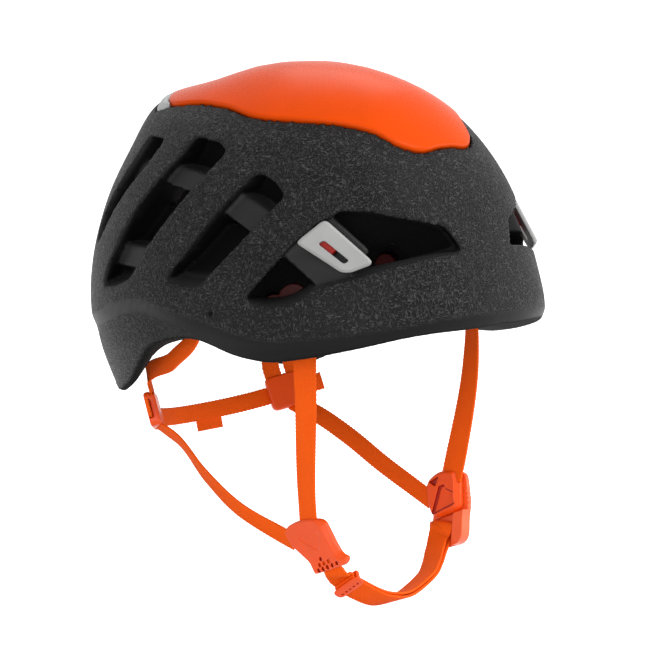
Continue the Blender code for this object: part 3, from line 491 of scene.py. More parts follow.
# %% Pieces
def new_piece(name, shape, finish=None):
    """Object at the origin from points in millimetres and faces, its faces pointing out."""
    points, faces = shape
    mesh = bpy.data.meshes.new(name)
    mesh.from_pydata((np.asarray(points, float) * MM).tolist(), [], faces)
    edit = bmesh.new()
    edit.from_mesh(mesh)
    bmesh.ops.recalc_face_normals(edit, faces=edit.faces)
    edit.to_mesh(mesh)
    edit.free()
    mesh.shade_smooth()
    obj = show(bpy.data.objects.new(name, mesh))
    if finish:
        mesh.materials.append(finish)
    return obj


def settle(obj):
    """Turn a piece's modifiers into plain mesh."""
    graph = bpy.context.evaluated_depsgraph_get()
    mesh = bpy.data.meshes.new_from_object(obj.evaluated_get(graph))
    obj.modifiers.clear()
    obj.data = mesh
    return obj


SIMPLE_FACES = 3000


def combine(obj, shapes, operation="DIFFERENCE"):
    """Cut shapes from a piece, or join them to it. A simple piece may cross itself at a drawn-in corner."""
    tools = bpy.data.collections.new("tools")
    for shape in shapes:
        tool = shape if isinstance(shape, bpy.types.Object) else new_piece("tool", shape)
        bpy.context.scene.collection.objects.unlink(tool)
        tools.objects.link(tool)
    modifier = obj.modifiers.new("combine", "BOOLEAN")
    modifier.operation = operation
    modifier.operand_type = "COLLECTION"
    modifier.collection = tools
    modifier.solver = "EXACT"
    modifier.use_self = len(obj.data.polygons) < SIMPLE_FACES
    settle(obj)
    for tool in list(tools.objects):
        bpy.data.objects.remove(tool)
    bpy.data.collections.remove(tools)


def soften(obj, voxel, passes, triangles):
    """Remake a piece from voxels, smooth it and thin it to a number of triangles."""
    remade = obj.modifiers.new("voxels", "REMESH")
    remade.mode = "VOXEL"
    remade.voxel_size = voxel * MM
    levelled = obj.modifiers.new("ease", "SMOOTH")
    levelled.factor = 0.5
    levelled.iterations = passes
    settle(obj)
    found = 2 * len(obj.data.polygons)
    if found > triangles:
        thinned = obj.modifiers.new("thin", "DECIMATE")
        thinned.ratio = triangles / found
        settle(obj)
    obj.data.shade_smooth()


def worn(obj, body, slot, *nodes):
    """Hand a finished piece to the frame: the body it rides on and the solids it stands for. The slot is not used."""
    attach(obj, body)
    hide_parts(*nodes)
    return obj


print("a piece may cross itself under", SIMPLE_FACES, "faces")

# %% [markdown]
# ## The shell's form
# The shell is one rule: a rounded plan, and an upright profile that changes from the front to the side to
# the rear. A point on it is a plan angle and a height. The rim runs low at the temple, arches over the ear
# and drops to a lobe behind it, and a crease runs a finger's width above it.

# %% Shell rule
SHELL = (108.0, 134.8, 136.0)
CROWN = 134.0
PLAN_POWER = 2.1
FRONT_PROFILE = ((0.97, -0.15), (1.02, 0.0), (0.963, 0.22), (0.873, 0.45), (0.709, 0.69), (0.482, 0.88),
                 (0.2, 0.981), (0.0, 1.0))
SIDE_PROFILE = ((0.94, -0.24), (1.005, -0.09), (1.013, 0.075), (0.969, 0.31), (0.868, 0.56), (0.684, 0.776),
                (0.402, 0.925), (0.147, 0.991), (0.0, 1.0))
REAR_PROFILE = ((0.89, -0.41), (0.945, -0.26), (0.988, -0.075), (0.99, 0.11), (0.933, 0.37), (0.831, 0.61),
                (0.731, 0.806), (0.445, 0.91), (0.218, 0.981), (0.0, 1.0))
RIM = ((0, -2.0), (30, -5.5), (45, -12.0), (60, -18.5), (68, -20.8), (76, -19.0), (90, -11.0), (97.5, -14.0),
       (113, -34.0), (122, -45.0), (130, -49.5), (138, -48.0), (150, -39.0), (165, -31.0), (180, -29.0))
CREASE = ((0, 5.5), (22, 3.2), (36, -1.0), (49, -4.6), (59, -7.2), (68, -8.6), (75, -6.4), (80, -3.0), (86, 0.6),
          (92, 3.0), (98, 6.0), (104, 8.0), (111, 6.0), (118, 2.0), (124, -2.0), (132, -6.0), (150, -11.0),
          (180, -13.0))
CAVITY = (SHELL[0] - 24.0, SHELL[1] - 28.0, SHELL[2] - 32.0)
CAVITY_TOP = CROWN - 30.0
CAVITY_POWER = 2.3
PROFILE_POINTS = 80

PROFILES = [evenly(smooth(knots, 12), PROFILE_POINTS) for knots in (FRONT_PROFILE, SIDE_PROFILE, REAR_PROFILE)]


def plan(angle, sizes):
    """Points of a plan curve at plan angles in degrees: 0 front, 90 the wearer's left, 180 rear."""
    turn = np.radians(angle)
    across, along = np.sin(turn), np.cos(turn)
    x = sizes[0] * np.sign(across) * np.abs(across) ** (2 / PLAN_POWER)
    y = -np.where(along > 0, sizes[1], sizes[2]) * np.sign(along) * np.abs(along) ** (2 / PLAN_POWER)
    return np.stack((x, y), axis=-1)


def profile(angle):
    along = math.cos(math.radians(angle))
    mixed = along ** 2 * PROFILES[0 if along > 0 else 2] + (1 - along ** 2) * PROFILES[1]
    return mixed[:, 0], mixed[:, 1] * CROWN


def from_front(angle):
    """Plan angle on either side, 0 at the front to 180 at the rear."""
    return np.abs((np.asarray(angle, float) + 180) % 360 - 180)


def by_angle(table):
    """A height along the plan, read by angle from a short table."""
    curve = smooth(table, 8)
    return lambda angle: np.interp(from_front(angle), curve[:, 0], curve[:, 1])


rim_height, crease_height = by_angle(RIM), by_angle(CREASE)


def shell_point(angle, height):
    shares, heights = profile(angle)
    return np.array((*(plan(angle, SHELL) * np.interp(height, heights, shares)), height))


def rule_normal(rule, angle, height):
    """Direction out of a rule's face, from small steps along it and up it."""
    across = rule(angle + 1, height) - rule(angle - 1, height)
    upward = rule(angle, height + 1) - rule(angle, height - 1)
    return unit(np.cross(across, upward))


def crown_height(x, y):
    """Height of the outer face above plan points on the crown."""
    across = (abs(x) / SHELL[0]) ** PLAN_POWER
    along = (abs(y) / (SHELL[1] if y < 0 else SHELL[2])) ** PLAN_POWER
    shares, heights = profile(math.degrees(math.atan2(math.sqrt(across), -math.copysign(math.sqrt(along), y))))
    crown = heights > 20.0
    return float(np.interp(-((across + along) ** (1 / PLAN_POWER)), -shares[crown], heights[crown]))


def cavity_point(angle, height):
    rise = max(height, 0.0) / CAVITY_TOP
    share = max(1 - rise ** CAVITY_POWER, 0.0) ** (1 / CAVITY_POWER)
    return np.array((*(plan(angle, CAVITY) * share), height))


def cavity_normal(angle, height):
    return -rule_normal(cavity_point, angle, height)


def cavity_crown(x, y):
    reach = CAVITY[1] if y < 0 else CAVITY[2]
    share = ((abs(x) / CAVITY[0]) ** PLAN_POWER + (abs(y) / reach) ** PLAN_POWER) ** (1 / PLAN_POWER)
    return CAVITY_TOP * max(1 - share ** CAVITY_POWER, 0.0) ** (1 / CAVITY_POWER)


print("rim in mm at the front, ear and rear:", [round(float(rim_height(angle)), 1) for angle in (0, 90, 180)])

# %% [markdown]
# ## Where the harness lies
# Each strap is a route of points, and at each point the way its flat side faces. The strap ends run a
# little into the piece that holds them.

# %% Bands
WEB_WIDTH = 13.5
REAR_WEB_WIDTH = 10.0
WEB_THICKNESS = 1.5
WEB_STEPS = 12
SOCKET = 4.0
CLEARANCE = 0.4
FIT = 0.3
SLIDER = (24.0, 20.0, 6.4)
SLIDER_LAYER = 1.4
SLIDER_LEAD = 5.0
SLIDER_EDGE = 0.9
SLIDER_SPOT = (134.0, -61.5)
SLIDER_SHIFT = 6.2
HOOK_SPOT = (50.0, 42.5)
STRAIGHT_SHARE = 0.3
DIVIDER_THICKNESS = 5.4
STRAP_HALF = 6.0
CHIN_MIDDLE = np.array((0.0, -45.0, -100.0))


class Band:
    """Flat webbing along a route of (point, facing) stations."""

    def __init__(self, route, width, ends=(SOCKET, SOCKET)):
        points = np.array([point for point, _ in route], float)
        facings = unit(np.array([facing for _, facing in route], float))
        self.points = smooth(points, WEB_STEPS)
        at = np.linspace(0, len(points) - 1, len(self.points))
        facing = np.stack([np.interp(at, range(len(points)), axis) for axis in facings.T], axis=1)
        self.along = unit(np.gradient(self.points, axis=0))
        self.across = unit(np.cross(facing, self.along))
        self.facing = np.cross(self.along, self.across)
        self.width, self.ends = width, ends

    def place(self, index, turn=1):
        return self.points[index], self.along[index] * turn, self.across[index], self.facing[index]

    def mouth(self, index=-1, turn=1):
        """Cut that takes this band's last end, or its first when turned."""
        half, thin = self.width / 2 + CLEARANCE, WEB_THICKNESS / 2 + CLEARANCE
        return block(self.place(index, turn), ((-SOCKET, SOCKET + CLEARANCE), (-half, half), (-thin, thin)))


print("webbing", WEB_WIDTH, "and", REAR_WEB_WIDTH, "mm wide")

# %% [markdown]
# The fittings are flat, so a centre and three directions place each: forward, up and outward.


# %% Places
def wall_station(angle, height, side, inset=0.0):
    inward = cavity_normal(angle, height)
    point = cavity_point(angle, height) + inward * (WEB_THICKNESS / 2 + 2 * FIT + inset)
    return mirrored(point, side), mirrored(-inward, side)


def spot(place, forward, up, outward=0.0):
    return place[0] + place[1] * forward + place[2] * up + place[3] * outward


def slider_place(side):
    outward = unit((0.63, 0.73, -0.26))
    centre = cavity_point(*SLIDER_SPOT) + cavity_normal(*SLIDER_SPOT) * 5.6
    forward = centre - (27.0, 92.0, -71.0)
    forward = unit(unit(forward) - outward * (unit(forward) @ outward))
    up = np.cross(outward, forward)
    return tuple(mirrored(axis, side) for axis in (centre, forward, up * math.copysign(1.0, up[2]), outward))


def fitting_place(centre, facing):
    outward = unit(facing)
    forward = np.array((0, -1.0, 0))
    forward = unit(forward - outward * (forward @ outward))
    up = np.cross(outward, forward)
    return np.array(centre), forward, up * math.copysign(1.0, up[2]), outward


def hook_place(side):
    outward = rule_normal(shell_point, *HOOK_SPOT)
    forward = unit(np.cross(outward, (0, 0, 1.0)))
    up = np.cross(forward, outward)
    forward = forward * math.copysign(1.0, -forward[1])
    up = up * math.copysign(1.0, up[2])
    return tuple(mirrored(axis, side) for axis in (shell_point(*HOOK_SPOT), forward, up, outward))


SIDES = {"right": -1, "left": 1}
hooks = {label: hook_place(side) for label, side in SIDES.items()}
sliders = {label: slider_place(side) for label, side in SIDES.items()}
divider_at = fitting_place((-62.0, -53.0, -126.0), (-0.988, 0.105, -0.114))
buckle_at = fitting_place((60.5, -44.0, -111.0), (0.988, 0.105, -0.114))
print("right hook at", hooks["right"][0].round(1), "and right slider at", sliders["right"][0].round(1))

# %% [markdown]
# Each strap starts flat on the cavity wall or in a slider and ends in the fitting that holds it, so its route
# is measured from both.


# %% Strap routes
def front_band(side, place, line, level):
    bend, _ = wall_station(59.5, -35.0, side, 0.8)
    route = [wall_station(62.0, 5.0, side), wall_station(60.0, -12.0, side),
             (bend, mirrored((0.97, -0.22, 0.0), side))]
    return Band(route + [(spot(place, *point, level), place[3]) for point in line], WEB_WIDTH)


def rear_band(side, slider, place, middle, line, level):
    start, bend = spot(slider, 3.0, -SLIDER[1] / 2, -SLIDER_LAYER), mirrored(middle[0], side)
    points = [start, start + (bend - start) * STRAIGHT_SHARE]
    points += [mirrored(point, side) for point in middle] + [spot(place, *point, level) for point in line]
    run = lengths(points)
    facings = [slider[3] + (place[3] - slider[3]) * at / run[-1] for at in run]
    return Band(list(zip(points, facings)), REAR_WEB_WIDTH)


def hanging_band(slider, shift, upper):
    """Rear strap from stations on the wall down to the top of a slider."""
    lower = [(spot(slider, shift, SLIDER[1] / 2 + lead, -SLIDER_LAYER), slider[3]) for lead in (SLIDER_LEAD, 0.0)]
    return Band(upper + lower, REAR_WEB_WIDTH)


def riser_band(side, slider):
    bend, _ = wall_station(112.0, -28.5, side, 3.0)
    return hanging_band(slider, SLIDER_SHIFT, [wall_station(98.0, 4.0, side), wall_station(98.0, -9.0, side),
                                               (bend, mirrored((0.85, 0.5, -0.2), side))])


def stay_band(side, slider):
    return hanging_band(slider, -SLIDER_SHIFT, [wall_station(139.0, height, side) for height in (-22.0, -30.0)])


bands = {}
for label, side in SIDES.items():
    bands["riser", label] = riser_band(side, sliders[label])
    bands["stay", label] = stay_band(side, sliders[label])
bands["front", "right"] = front_band(-1, divider_at, ((-5.0, 27.0), (-5.2, 15.4)), -DIVIDER_THICKNESS / 2)
bands["front", "left"] = front_band(1, buckle_at, ((4.6, 23.0), (3.0, 12.4)), STRAP_HALF / 2)
bands["rear", "right"] = rear_band(-1, sliders["right"], divider_at,
                                   ((58.5, 52.0, -75.0), (61.5, 27.0, -93.5), (62.0, 2.0, -109.5)),
                                   ((-31.0, 4.1), (-21.8, 1.7)), -DIVIDER_THICKNESS / 2)
bands["rear", "left"] = rear_band(1, sliders["left"], buckle_at,
                                  ((58.5, 50.0, -73.5), (60.5, 27.0, -84.5), (61.5, 2.0, -98.5)),
                                  ((-21.0, 0.8), (-12.9, -3.2)), STRAP_HALF / 2)
print("strap lengths in mm:", {" ".join(key): round(float(lengths(band.points)[-1])) for key, band in bands.items()})

# %% [markdown]
# ## Foam shell
# The real shell is expanded foam moulded in one piece, with a wrinkled skin outside and smooth walls in the
# vents. The closed form comes from the rule, the vents are cut level through the wall, and the cross bars
# are put back deeper in. Voxels then round the edges.

# %% Shell solid
COLUMNS = 160
OUTER_ROWS = 56
INNER_ROWS = 24
LOBE_UNDERCUT = 16.0
BAND_SLOPE = 3.0 / 10.5
STEP_DEPTH = 2.2
STEP_WIDTH = 7.0
OUTER_RISE = 2.6
INNER_RISE = 2.0
RIM_EDGE = ((0.5, 1.2), (1.6, 0.3), (4.0, 0.0))


def rear_share(angle):
    """0 along the front and sides, 1 behind the ear."""
    return ramp(from_front(angle), 88, 16)


def crease_inset(angle, height):
    """How far the face turns in below the crease: a slope at the front and sides, a step at the rear."""
    below = np.maximum(crease_height(angle) - height, 0.0)
    step = STEP_DEPTH * eased(ramp(below, 0.0, STEP_WIDTH))
    return (1 - rear_share(angle)) * np.minimum(below, 14.0) * BAND_SLOPE + rear_share(angle) * step


def lobe_share(angle):
    """1 at the lobe behind the ear, where the rim thins out, 0 away from it."""
    turn = from_front(angle)
    return eased(np.minimum(ramp(turn, 100, 16), ramp(-turn, -166, 20)))


def shell_solid():
    rings = {"inner": [], "edge": [], "outer": []}
    for angle in np.arange(COLUMNS) * 360 / COLUMNS:
        low = float(rim_height(angle))
        shares, heights = profile(angle)
        steps = np.arange(PROFILE_POINTS)
        spots = np.linspace(np.interp(low + OUTER_RISE, heights, steps), steps[-1] - 0.2, OUTER_ROWS)
        rise = np.interp(spots, steps, heights)
        flat = plan(angle, SHELL)
        reach = np.linalg.norm(flat)
        share = np.interp(spots, steps, shares) - crease_inset(angle, rise) / reach
        rings["outer"].append(np.column_stack((share[:, None] * flat, rise)))
        edge = [(*((share[0] - inset / reach) * flat), low + lift) for inset, lift in RIM_EDGE]
        rings["edge"].append(edge)
        inner_low = low + INNER_RISE + LOBE_UNDERCUT * float(lobe_share(angle))
        turn = np.sin(np.linspace(0, math.pi / 2, INNER_ROWS, endpoint=False))
        rings["inner"].append([cavity_point(angle, inner_low + part * (CAVITY_TOP - inner_low)) for part in turn])
    inner, edge, outer = (np.array(rings[key]).swapaxes(0, 1) for key in ("inner", "edge", "outer"))
    return domed([*inner[::-1], *edge[::-1], *outer], (0, 0, CAVITY_TOP), (0, 0, CROWN))


shell = new_piece("foam_shell_foam", shell_solid())
print("plain shell:", len(shell.data.polygons), "faces")

# %% [markdown]
# Each vent is an outline on the wall, seen square to its cut. Its lower edge is raised on the way in, so that
# the sill slopes outward as the moulded one does. Past its waist it narrows and climbs, so no daylight shows
# through. The long front vent keeps its way in at the rear end, by the strap's anchor.

# %% Vents
VENTS = (
    dict(cut=130, bar_depth=7.0, sill=5.0, throat=0.32, lift=12.0,
         outline=((-14.8, 94.0), (-12.9, 79.0), (-6.0, 70.0), (16.0, 40.0), (22.0, 33.0), (31.0, 35.0), (29.0, 44.0),
                  (12.0, 68.0), (6.0, 79.0), (4.5, 94.0)),
         bars=(((-10.0, 74.5), (10.0, 74.5), 11.0),)),
    dict(cut=90, bar_depth=7.0, sill=7.0, throat=0.32, lift=12.0,
         outline=((18.0, 97.0), (-3.2, 94.4), (-9.4, 90.8), (-1.2, 79.3), (9.7, 65.8), (32.0, 38.9), (45.8, 18.5),
                  (60.3, 13.2), (75.6, 11.3), (69.8, 24.5), (50.0, 55.2), (22.6, 87.2)),
         bars=(((10.3, 72.8), (33.2, 76.2), 10.6), ((46.5, 29.6), (68.0, 29.8), 13.0))),
    dict(cut=90, bar_depth=7.0, sill=7.0, throat=0.32, lift=12.0,
         outline=((-33.9, 80.8), (-45.0, 77.0), (-53.2, 69.5), (-37.5, 48.8), (-14.5, 23.6), (-9.5, 18.6),
                  (4.3, 17.9), (14.7, 20.0), (2.8, 33.6), (-19.9, 63.9)),
         bars=(((-37.8, 55.0), (-20.5, 63.5), 14.0),)),
    dict(cut=45, bar_depth=3.0, sill=3.5, throat=0.12, lift=0.0, heart=(10.0, 24.0),
         outline=((45.0, 13.5), (20.0, 43.5), (5.5, 55.3), (-6.7, 62.0), (-21.0, 61.4), (-63.5, 52.6), (-73.3, 39.2),
                  (-57.0, 37.7), (-34.5, 33.0), (0.8, 23.4), (9.0, 21.3), (15.3, 15.4), (22.7, 12.0), (33.0, 10.4)),
         bars=(((-6.0, 33.3), (20.7, 57.2), 33.0),)),
)
WALL_DEPTH = 52.0
WAIST_DEPTH = 14.0
THROAT_DEPTH = 21.0
VENT_CORNER = 4.0
OUTSIDE = 14.0
BAR_BACK = 24.0


def on_wall(cut, spots):
    """Shell points on the left side at (run along the wall square to the cut, height)."""
    angles = np.arange(cut - 80.0, cut + 81.0, 2.0)
    turn = math.radians(cut)
    found = []
    for run, height in spots:
        points = np.array([shell_point(angle, height) for angle in angles])
        rising = np.maximum.accumulate(points[:, 0] * math.cos(turn) + points[:, 1] * math.sin(turn))
        found.append([np.interp(run, rising, points[:, axis]) for axis in range(3)])
    return np.array(found)


def cut_direction(cut):
    turn = math.radians(cut)
    return np.array((math.sin(turn), -math.cos(turn), 0.0))


def vent_cutter(vent):
    outline = rounded(vent["outline"], VENT_CORNER, 4)
    face = on_wall(vent["cut"], outline)
    outward = cut_direction(vent["cut"])
    low, high = outline[:, 1].min(), outline[:, 1].max()
    lift = vent["sill"] * (1 - ramp(outline[:, 1], low, 0.35 * (high - low)))
    slope = lift[:, None] * np.array((0, 0, 1.0)) / BAR_BACK
    outer = face + outward * OUTSIDE - slope * OUTSIDE
    waist = face - outward * WAIST_DEPTH + slope * WAIST_DEPTH
    middle, share = waist.mean(axis=0), np.full((len(waist), 1), vent["throat"])
    if "heart" in vent:
        middle = on_wall(vent["cut"], [vent["heart"]])[0] - outward * WAIST_DEPTH
        share[outline[:, 0] > vent["heart"][0]] = 1.0
    throat = middle + (waist - middle) * share - outward * (THROAT_DEPTH - WAIST_DEPTH) + (0, 0, vent["lift"])
    return throat - outward * (WALL_DEPTH - THROAT_DEPTH), throat, waist, outer


def vent_bars(vent):
    outward = cut_direction(vent["cut"])
    shapes = []
    for start, end, width in vent["bars"]:
        start, end = np.array(start), np.array(end)
        along = unit(end - start)
        up = np.array((-along[1], along[0]))
        runs = np.linspace(-7.0, np.linalg.norm(end - start) + 7.0, 9)
        levels = np.linspace(-width / 2, width / 2, 7)
        border = [(run, levels[0]) for run in runs] + [(runs[-1], level) for level in levels[1:]]
        border += [(run, levels[-1]) for run in runs[-2::-1]] + [(runs[0], level) for level in levels[-2:0:-1]]
        face = on_wall(vent["cut"], [start + along * run + up * level for run, level in border])
        shapes.append((face - outward * vent["bar_depth"], face - outward * BAR_BACK))
    return shapes


def both_sides(shapes):
    return [lofted([mirrored(ring, side) for ring in rings]) for rings in shapes for side in (-1, 1)]


combine(shell, both_sides([vent_cutter(vent) for vent in VENTS]))
combine(shell, both_sides([bar for vent in VENTS for bar in vent_bars(vent)]), "UNION")
print("shell with vents and bars:", len(shell.data.polygons), "faces")

# %% [markdown]
# The crown cap, the hooks' feet and the strap anchors each sit in a pocket moulded into the foam. The cap's
# pocket follows its outline, a little wider at the rear for the grey trim.

# %% Pockets
CAP_OUTLINE = ((0.0, -94.0), (22.0, -92.0), (30.5, -86.0), (36.0, -77.0), (47.0, -62.0), (60.0, -40.0),
               (66.0, -14.0), (62.0, 8.0), (58.0, 30.0), (51.0, 61.0), (38.0, 73.0), (18.0, 79.0), (0.0, 80.0))
CAP_GROOVE = 1.15
TRIM_WIDTH = 7.0
FOOT_OUTLINE = ((-14.0, 3.4), (-6.6, 9.6), (2.6, 1.6), (-4.0, -4.4))
FOOT_DEPTH = 14.0
ANCHOR_THICKNESS = 4.4
ANCHOR_LENGTH = 16.0
ANCHOR_MARGIN = 2.5
POCKET_REACH = 12.0
PIN_RADIUS = 1.6
half_cap = smooth(CAP_OUTLINE, 6)
cap_line = np.concatenate((half_cap, (half_cap * (-1, 1))[-2:0:-1]))
trim_widths = TRIM_WIDTH * eased(ramp(cap_line[:, 1], 55.0, 16.0))


def dish(rings_in_plan, heights, roof):
    """Solid through plan rings at heights above a roof, closed at the middle of its first and last ring."""
    rings = [np.array([(x, y, roof(x, y) + height) for x, y in ring])
             for ring, height in zip(rings_in_plan, heights)]
    return domed(rings, rings[0].mean(axis=0), rings[-1].mean(axis=0))


def shrunk(outline, shares):
    middle = outline.mean(axis=0)
    return [middle + (outline - middle) * share for share in shares]


def anchor_outline(width):
    half = width / 2 + ANCHOR_MARGIN
    turns = np.radians(np.linspace(0, 180, 13))
    arc = np.stack((ANCHOR_LENGTH - half + half * np.sin(turns), half * np.cos(turns)), axis=1)
    return np.concatenate(([(0.0, -half), (0.0, half)], arc))


pocket_line = grown(cap_line, trim_widths + CAP_GROOVE)
pocket_rings = shrunk(pocket_line, (0.4, 0.75, 1.0))
pocket_levels = [POCKET_REACH] * 3 + [-POCKET_REACH] * 3
pockets = [dish([*pocket_rings, *pocket_rings[::-1]], pocket_levels, crown_height)]
for place in hooks.values():
    pockets.append(plate(place, grown(FOOT_OUTLINE, FIT), -FOOT_DEPTH - FIT, POCKET_REACH))
anchored = {key: band for key, band in bands.items() if key[0] != "rear"}
for band in anchored.values():
    deep = ANCHOR_THICKNESS / 2
    pockets.append(plate(band.place(0, -1), grown(anchor_outline(band.width), FIT), -2 * deep, deep + FIT))
PINS = {side: shell_point(side * 82.5, 4.9) for side in (-1, 1)}
for side, pin in PINS.items():
    place = (pin, np.array((0, 1.0, 0)), np.array((0, 0, 1.0)), np.array((side, 0, 0.0)))
    pockets.append(plate(place, circle(20, PIN_RADIUS), -8, 8))
combine(shell, pockets)
soften(shell, 1.35, 3, 190000)
print("moulded shell:", len(shell.data.polygons), "faces")

# %% [markdown]
# Only the outside of the dome is wrinkled. The vents, the bars, the inside and the band under the crease come
# off a polished mould. Each vertex is told which it is: how close it lies to the rule's outer face. Shade is
# painted in as well: deep in the vents, on their walls and on faces that look down. The small pin holes get a
# painted shadow too, since the voxels round them off.

# %% Skin
TABLE_LOW = -60
TABLE_ROWS = 195
table_heights = np.linspace(TABLE_LOW, CROWN, TABLE_ROWS)
share_table = np.array([np.interp(table_heights, *profile(angle)[::-1]) for angle in range(0, 181)])


def skin_of(points, normals):
    """Three shares: the wrinkled outside; painted shade deep in vents, on their walls and on faces looking down; the
    band under the crease.
    """
    across = (np.abs(points[:, 0]) / SHELL[0]) ** PLAN_POWER
    along = (np.abs(points[:, 1]) / np.where(points[:, 1] < 0, SHELL[1], SHELL[2])) ** PLAN_POWER
    angle = np.degrees(np.arctan2(np.sqrt(across), -np.sign(points[:, 1]) * np.sqrt(along)))
    last = TABLE_ROWS - 1
    row = np.clip((points[:, 2] - TABLE_LOW) / (CROWN - TABLE_LOW) * last, 0, last - 0.01)
    column = np.clip(angle, 0, 179.99)
    a, h = column.astype(int), row.astype(int)
    u, v = column - a, row - h
    share = ((1 - u) * (1 - v) * share_table[a, h] + u * (1 - v) * share_table[a + 1, h]
             + (1 - u) * v * share_table[a, h + 1] + u * v * share_table[a + 1, h + 1])
    found = (across + along) ** (1 / PLAN_POWER)
    flat = np.linalg.norm(points[:, :2], axis=1)
    outward = np.sum(normals * unit(points * (1, 1, 0.6)), axis=1)
    level = np.linalg.norm(normals[:, :2], axis=1)
    depth = (share - found) / np.maximum(found, 0.05) * flat * level - crease_inset(angle, points[:, 2]) * level
    close = ramp(-np.abs(depth), -2.2, 1.2) * ramp(outward, 0.45, 0.25)
    above = points[:, 2] - crease_height(angle)
    front_band_off = ramp(above, 0.2, 1.4)
    step_off = np.maximum(front_band_off, ramp(-above, STEP_WIDTH, 1.5))
    rear = rear_share(angle)
    level_out = np.sum(normals[:, :2] * unit(points[:, :2]), axis=1)
    # Painted shade: vent walls, the deep inside and the faces that look down are marked to be drawn dark.
    walls = ramp(depth, 0.8, 3.0) * ramp(-level_out, -0.8, 0.3) * ramp(-normals[:, 2], -0.75, 0.3)
    undersides = ramp(-normals[:, 2], 0.4, 0.3)
    painted_shade = np.maximum.reduce((walls, ramp(depth, 9.5, 4.0), undersides))
    skin = close * ((1 - rear) * front_band_off + rear * step_off)
    return skin, painted_shade, close * (1 - rear) * (1 - front_band_off)


def points_of(mesh):
    points, normals = np.zeros(len(mesh.vertices) * 3), np.zeros(len(mesh.vertices) * 3)
    mesh.vertices.foreach_get("co", points)
    mesh.vertices.foreach_get("normal", normals)
    return points.reshape(-1, 3) / MM, normals.reshape(-1, 3)


def paint(mesh, name, values):
    mesh.attributes.new(name, "FLOAT", "POINT").data.foreach_set("value", np.asarray(values, np.float32))


points, normals = points_of(shell.data)
skin, painted_shade, band = skin_of(points, normals)
# Painted shadow in the small pin holes.
for pin in PINS.values():
    painted_shade = np.maximum(painted_shade, ramp(-np.linalg.norm(points - pin, axis=1), -2.0, 0.7))
for name, values in (("skin", skin), ("painted_shade", painted_shade), ("band", band)):
    paint(shell.data, name, values)
print("wrinkled share of the shell:", round(float(skin.mean()), 2))

# %% [markdown]
# Expanded foam takes the wrinkles of the film in its mould: worm-like ridges a millimetre or two wide. Two
# noises, one drawn out level and one upright, fold into such ridges and are mixed in patches. The ridges are
# bumped, and also drawn lighter than the folds, a painted highlight and shade for the light on them. The skin
# value keeps them off the smooth faces.

# %% Foam finish
foam = Finish("black foam", Specular_IOR_Level=0.1)
wrinkled, painted_shade_share = foam.attribute("skin"), foam.attribute("painted_shade")
folds = []
for stretch in ((0.42, 0.42, 1.0), (1.0, 1.0, 0.42)):
    drawn_out = foam.node("ShaderNodeVectorMath", {"operation": "MULTIPLY"}, {0: foam.place(), 1: stretch})
    folds.append(1 - abs(foam.noise(780, 1.0, 0.5, vector=drawn_out) - 0.5).step(0.0, 0.13))
lying = foam.noise(130, 1).step(0.42, 0.58)
ridge = folds[0] * lying + folds[1] * (1 - lying)
cloud = foam.noise(30, 2).step(0.3, 0.7)
shade = foam.mix(cloud, (0.006, 0.006, 0.0061), (0.009, 0.009, 0.0092))
# Painted highlight and shade: the ridges are drawn lighter than the folds between them, for the light on the
# wrinkles; the bump gives their real relief.
shade = foam.mix(ridge, shade, (0.055, 0.055, 0.056))
# Smooth faces share one tone; the band under the crease is drawn much darker, a painted shade for the band that turns
# in below it.
smooth_tone_band_shaded = foam.mix(foam.attribute("band"), (0.021, 0.021, 0.0215), (0.005, 0.005, 0.0052))
shade = foam.mix(wrinkled, smooth_tone_band_shaded, shade)
# Painted shade: where the shell is marked, the foam is drawn near black.
foam.set(Base_Color=foam.mix(painted_shade_share, shade, (0.0005, 0.0005, 0.0005)))
foam.set(Roughness=0.45 + (foam.noise(700, 2) - 0.5) * 0.2 + painted_shade_share * 0.4)
foam.bump(ridge * wrinkled + foam.noise(260, 1) * 0.05, 0.002)
refinish(shell, foam.material)
worn(shell, "helmet", "foam", "foam_shell")
print("foam finish:", len(foam.tree.nodes), "nodes")

# %% [markdown]
# ## Crown
# The cap is a thin hard sheet moulded over a foam core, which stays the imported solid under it. Its
# edge is rounded, so the outline widens by small steps as it comes down.

# %% Cap and trim
CAP_PROUD = 1.4
CAP_THICKNESS = 2.0
EDGE_RADIUS = 0.6
cap_line = grown(cap_line, CAP_GROOVE / 2)
cap_rings = shrunk(grown(cap_line, -EDGE_RADIUS), (0.06, 0.2, 0.35, 0.5, 0.63, 0.75, 0.85, 0.93, 0.98))
cap_heights = [CAP_PROUD] * len(cap_rings)
for turn in np.linspace(0, math.pi / 2, 6):
    cap_rings.append(grown(cap_line, -EDGE_RADIUS * (1 - math.sin(turn))))
    cap_heights.append(CAP_PROUD - EDGE_RADIUS * (1 - math.cos(turn)))
cap_rings += [cap_line, grown(cap_line, -2.0), *shrunk(cap_line, (0.6, 0.1))]
cap_heights += [-CAP_THICKNESS] * 4
cap_finish = plain_finish("satin orange", (0.64, 0.058, 0.001), 0.28, 0.03, 1400, 0.00001, Specular_IOR_Level=0.045)
cap = new_piece("crown_cap_shell", dish(cap_rings, cap_heights, crown_height), cap_finish)
worn(cap, "helmet", "cap", "crown_cap")

wide = np.flatnonzero(trim_widths > 1.4)
near, far = grown(cap_line, 0.35)[wide], grown(cap_line, trim_widths + 0.2)[wide]
across_trim = ((0.0, -CAP_THICKNESS), (0.0, -0.5), (0.05, 0.0), (0.14, 0.28), (0.3, CAP_PROUD), (0.7, CAP_PROUD),
               (0.86, 0.28), (0.95, 0.0), (1.0, -0.5), (1.0, -CAP_THICKNESS))
trim_rings = []
for inner, outer in zip(near, far):
    section = [(inner + (outer - inner) * share, height) for share, height in across_trim]
    trim_rings.append(np.array([(*point, crown_height(*point) + height) for point, height in section]))
trim_finish = plain_finish("pale grey rubber", (0.36, 0.365, 0.37), 0.5)
trim = new_piece("rear_trim_strip", lofted(trim_rings), trim_finish)
worn(trim, "helmet", "trim", "rear_trim")

